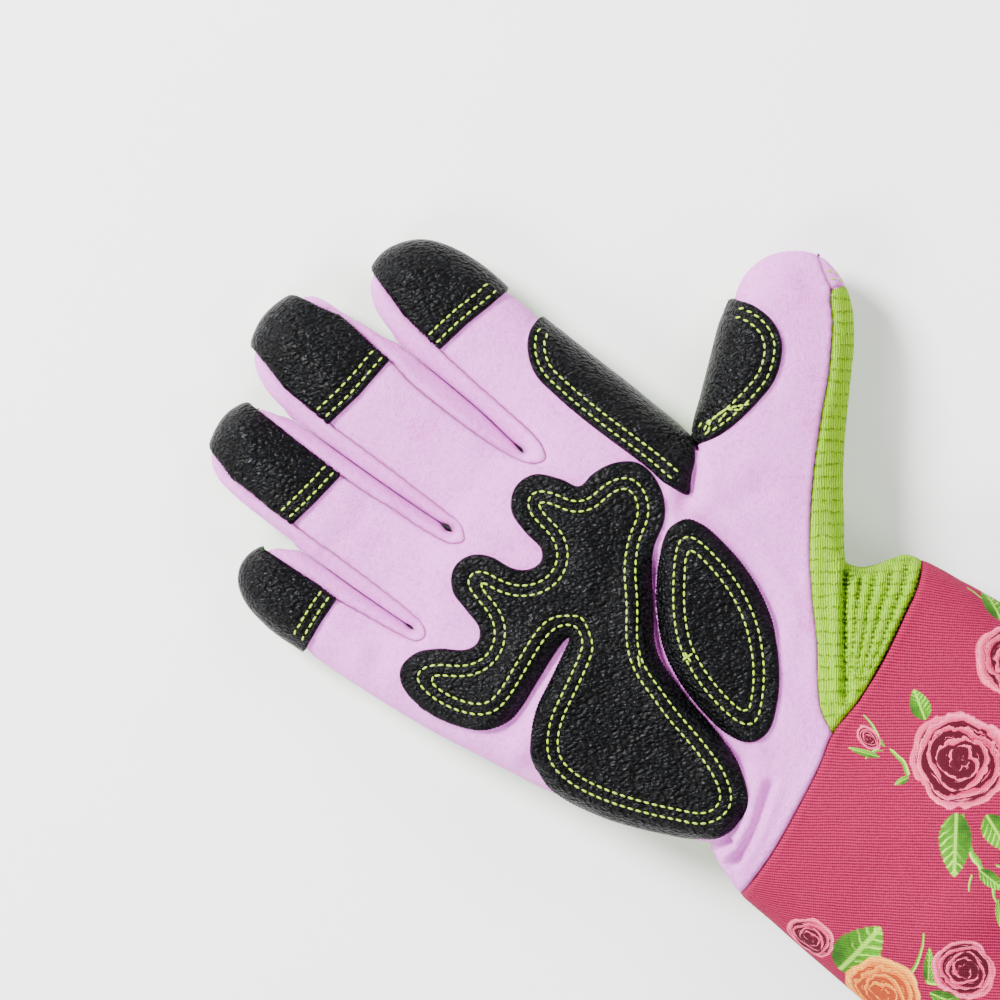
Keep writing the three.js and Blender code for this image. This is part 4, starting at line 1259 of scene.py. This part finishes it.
def stitches(name, lines, surface, faces, stitch=PATCH_STITCH, material=lime, above=1):
    """Rows of short thread capsules along lines on a surface that is seen from above (1) or below (-1)."""
    length, pitch, width = stitch
    used, place = np.unique(faces, return_inverse=True)
    tree = BVHTree.FromPolygons([Vector(p) for p in surface[used]], place.reshape(-1, 3).tolist())
    bm = bmesh.new()
    for line in lines:
        spots = even_line(line, pitch)
        for a, b in zip(spots[:-1], spots[1:]):
            way = b - a
            if not pitch * 0.4 < np.hypot(*way) < pitch * 1.6:
                continue
            hit, normal, _, _ = tree.ray_cast(Vector((*(a + b) / 2, 90 * above)), Vector((0, 0, -above)))
            if hit is None:
                continue
            forward = Vector((*way, 0)).normalized()
            forward = (forward - normal * forward.dot(normal)).normalized()
            turn = Matrix((forward, normal.cross(forward), normal)).transposed()
            size = Matrix.Diagonal((length / 2, width / 2, width / 2))
            spot = Vector(to_frame(np.array(hit + normal * 0.1)))
            matrix = Matrix.Translation(spot) @ (turn @ size * MM).to_4x4()
            bmesh.ops.create_uvsphere(bm, u_segments=7, v_segments=5, radius=1, matrix=matrix)
    mesh = bpy.data.meshes.new(name)
    bm.to_mesh(mesh)
    bm.free()
    dressed(name, mesh, material)


for name, _, outside, rows, follow in PATCHES:
    lines = row_lines(name, outside, rows, follow)
    raised, faces = patch_piece(name, lines)
    stitches(name.replace("patch", "stitches"), lines, raised, faces)


def loose_threads():
    """The bar tacks where rows end, the tangle on the thumb patch and the rows on the cap."""
    groups = {
        "palm_tacks": (TACKS, PATCH, in_front, "leather_black"),
        "thumb_tangle": (TANGLE, PATCH, in_front, "leather_black"),
        "cap_stitches": (CAP_ROWS, 0.0, in_cap, "suede_lilac"),
    }
    normals = normals_of(top, tris)
    for name, (lines, raise_by, where, slot) in groups.items():
        fine = [even_line(np.array(line), LINE_STEP) for line in lines]
        stitches(name, fine, top + normals * raise_by, tris[where], TACK_STITCH)


loose_threads()
cuff_hem()


# Floor, light and camera

def floor():
    """The plain pale ground that the glove lies on."""
    bm = bmesh.new()
    bmesh.ops.create_grid(bm, x_segments=2, y_segments=2, size=4.0)
    mesh = bpy.data.meshes.new("floor")
    bm.to_mesh(mesh)
    bm.free()
    ground = bpy.data.objects.new("floor", mesh)
    paint = Paint("floor_white", 0.9)
    paint.colour(paint.mix(paint.noise(40, 2), FLOOR_LIGHT, FLOOR_DARK))
    mesh.materials.append(paint.material)
    bpy.context.scene.collection.objects.link(ground)
    mesh.transform(Matrix.Translation((0, 0, -0.0004)))


def lamp(name, place, size, power):
    """A round soft lamp that faces the glove."""
    data = bpy.data.lights.new(name, "AREA")
    data.shape = "DISK"
    data.size = size
    data.energy = power
    made = bpy.data.objects.new(name, data)
    made.location = place
    made.rotation_mode = "QUATERNION"
    made.rotation_quaternion = (Vector(LAMP_AIM) - Vector(place)).to_track_quat("-Z", "Y")
    bpy.context.scene.collection.objects.link(made)


def camera():
    """The camera straight above, turned so that the glove lies as in the photograph."""
    aside = Vector((ASIDE["x"], ASIDE["y"], 0))
    upward = Vector((UPWARD["x"], UPWARD["y"], 0))
    data = bpy.data.cameras.new("camera")
    data.sensor_width = 36
    data.lens = data.sensor_width * VIEW_DISTANCE / VIEW_WIDTH
    made = bpy.data.objects.new("camera", data)
    turn = Matrix((aside, upward, Vector((0, 0, 1)))).transposed().to_4x4()
    made.matrix_world = Matrix.Translation(Vector(VIEW_CENTRE) + Vector((0, 0, VIEW_DISTANCE))) @ turn
    bpy.context.scene.collection.objects.link(made)
    bpy.context.scene.camera = made


floor()
for name, place, size, power in LAMPS:
    lamp(name, place, size, power)
world = bpy.data.worlds.new("studio")
bpy.context.scene.world = world
world.use_nodes = True
world.node_tree.nodes["Background"].inputs["Color"].default_value = (1, 1, 1, 1)
world.node_tree.nodes["Background"].inputs["Strength"].default_value = DAYLIGHT
camera()
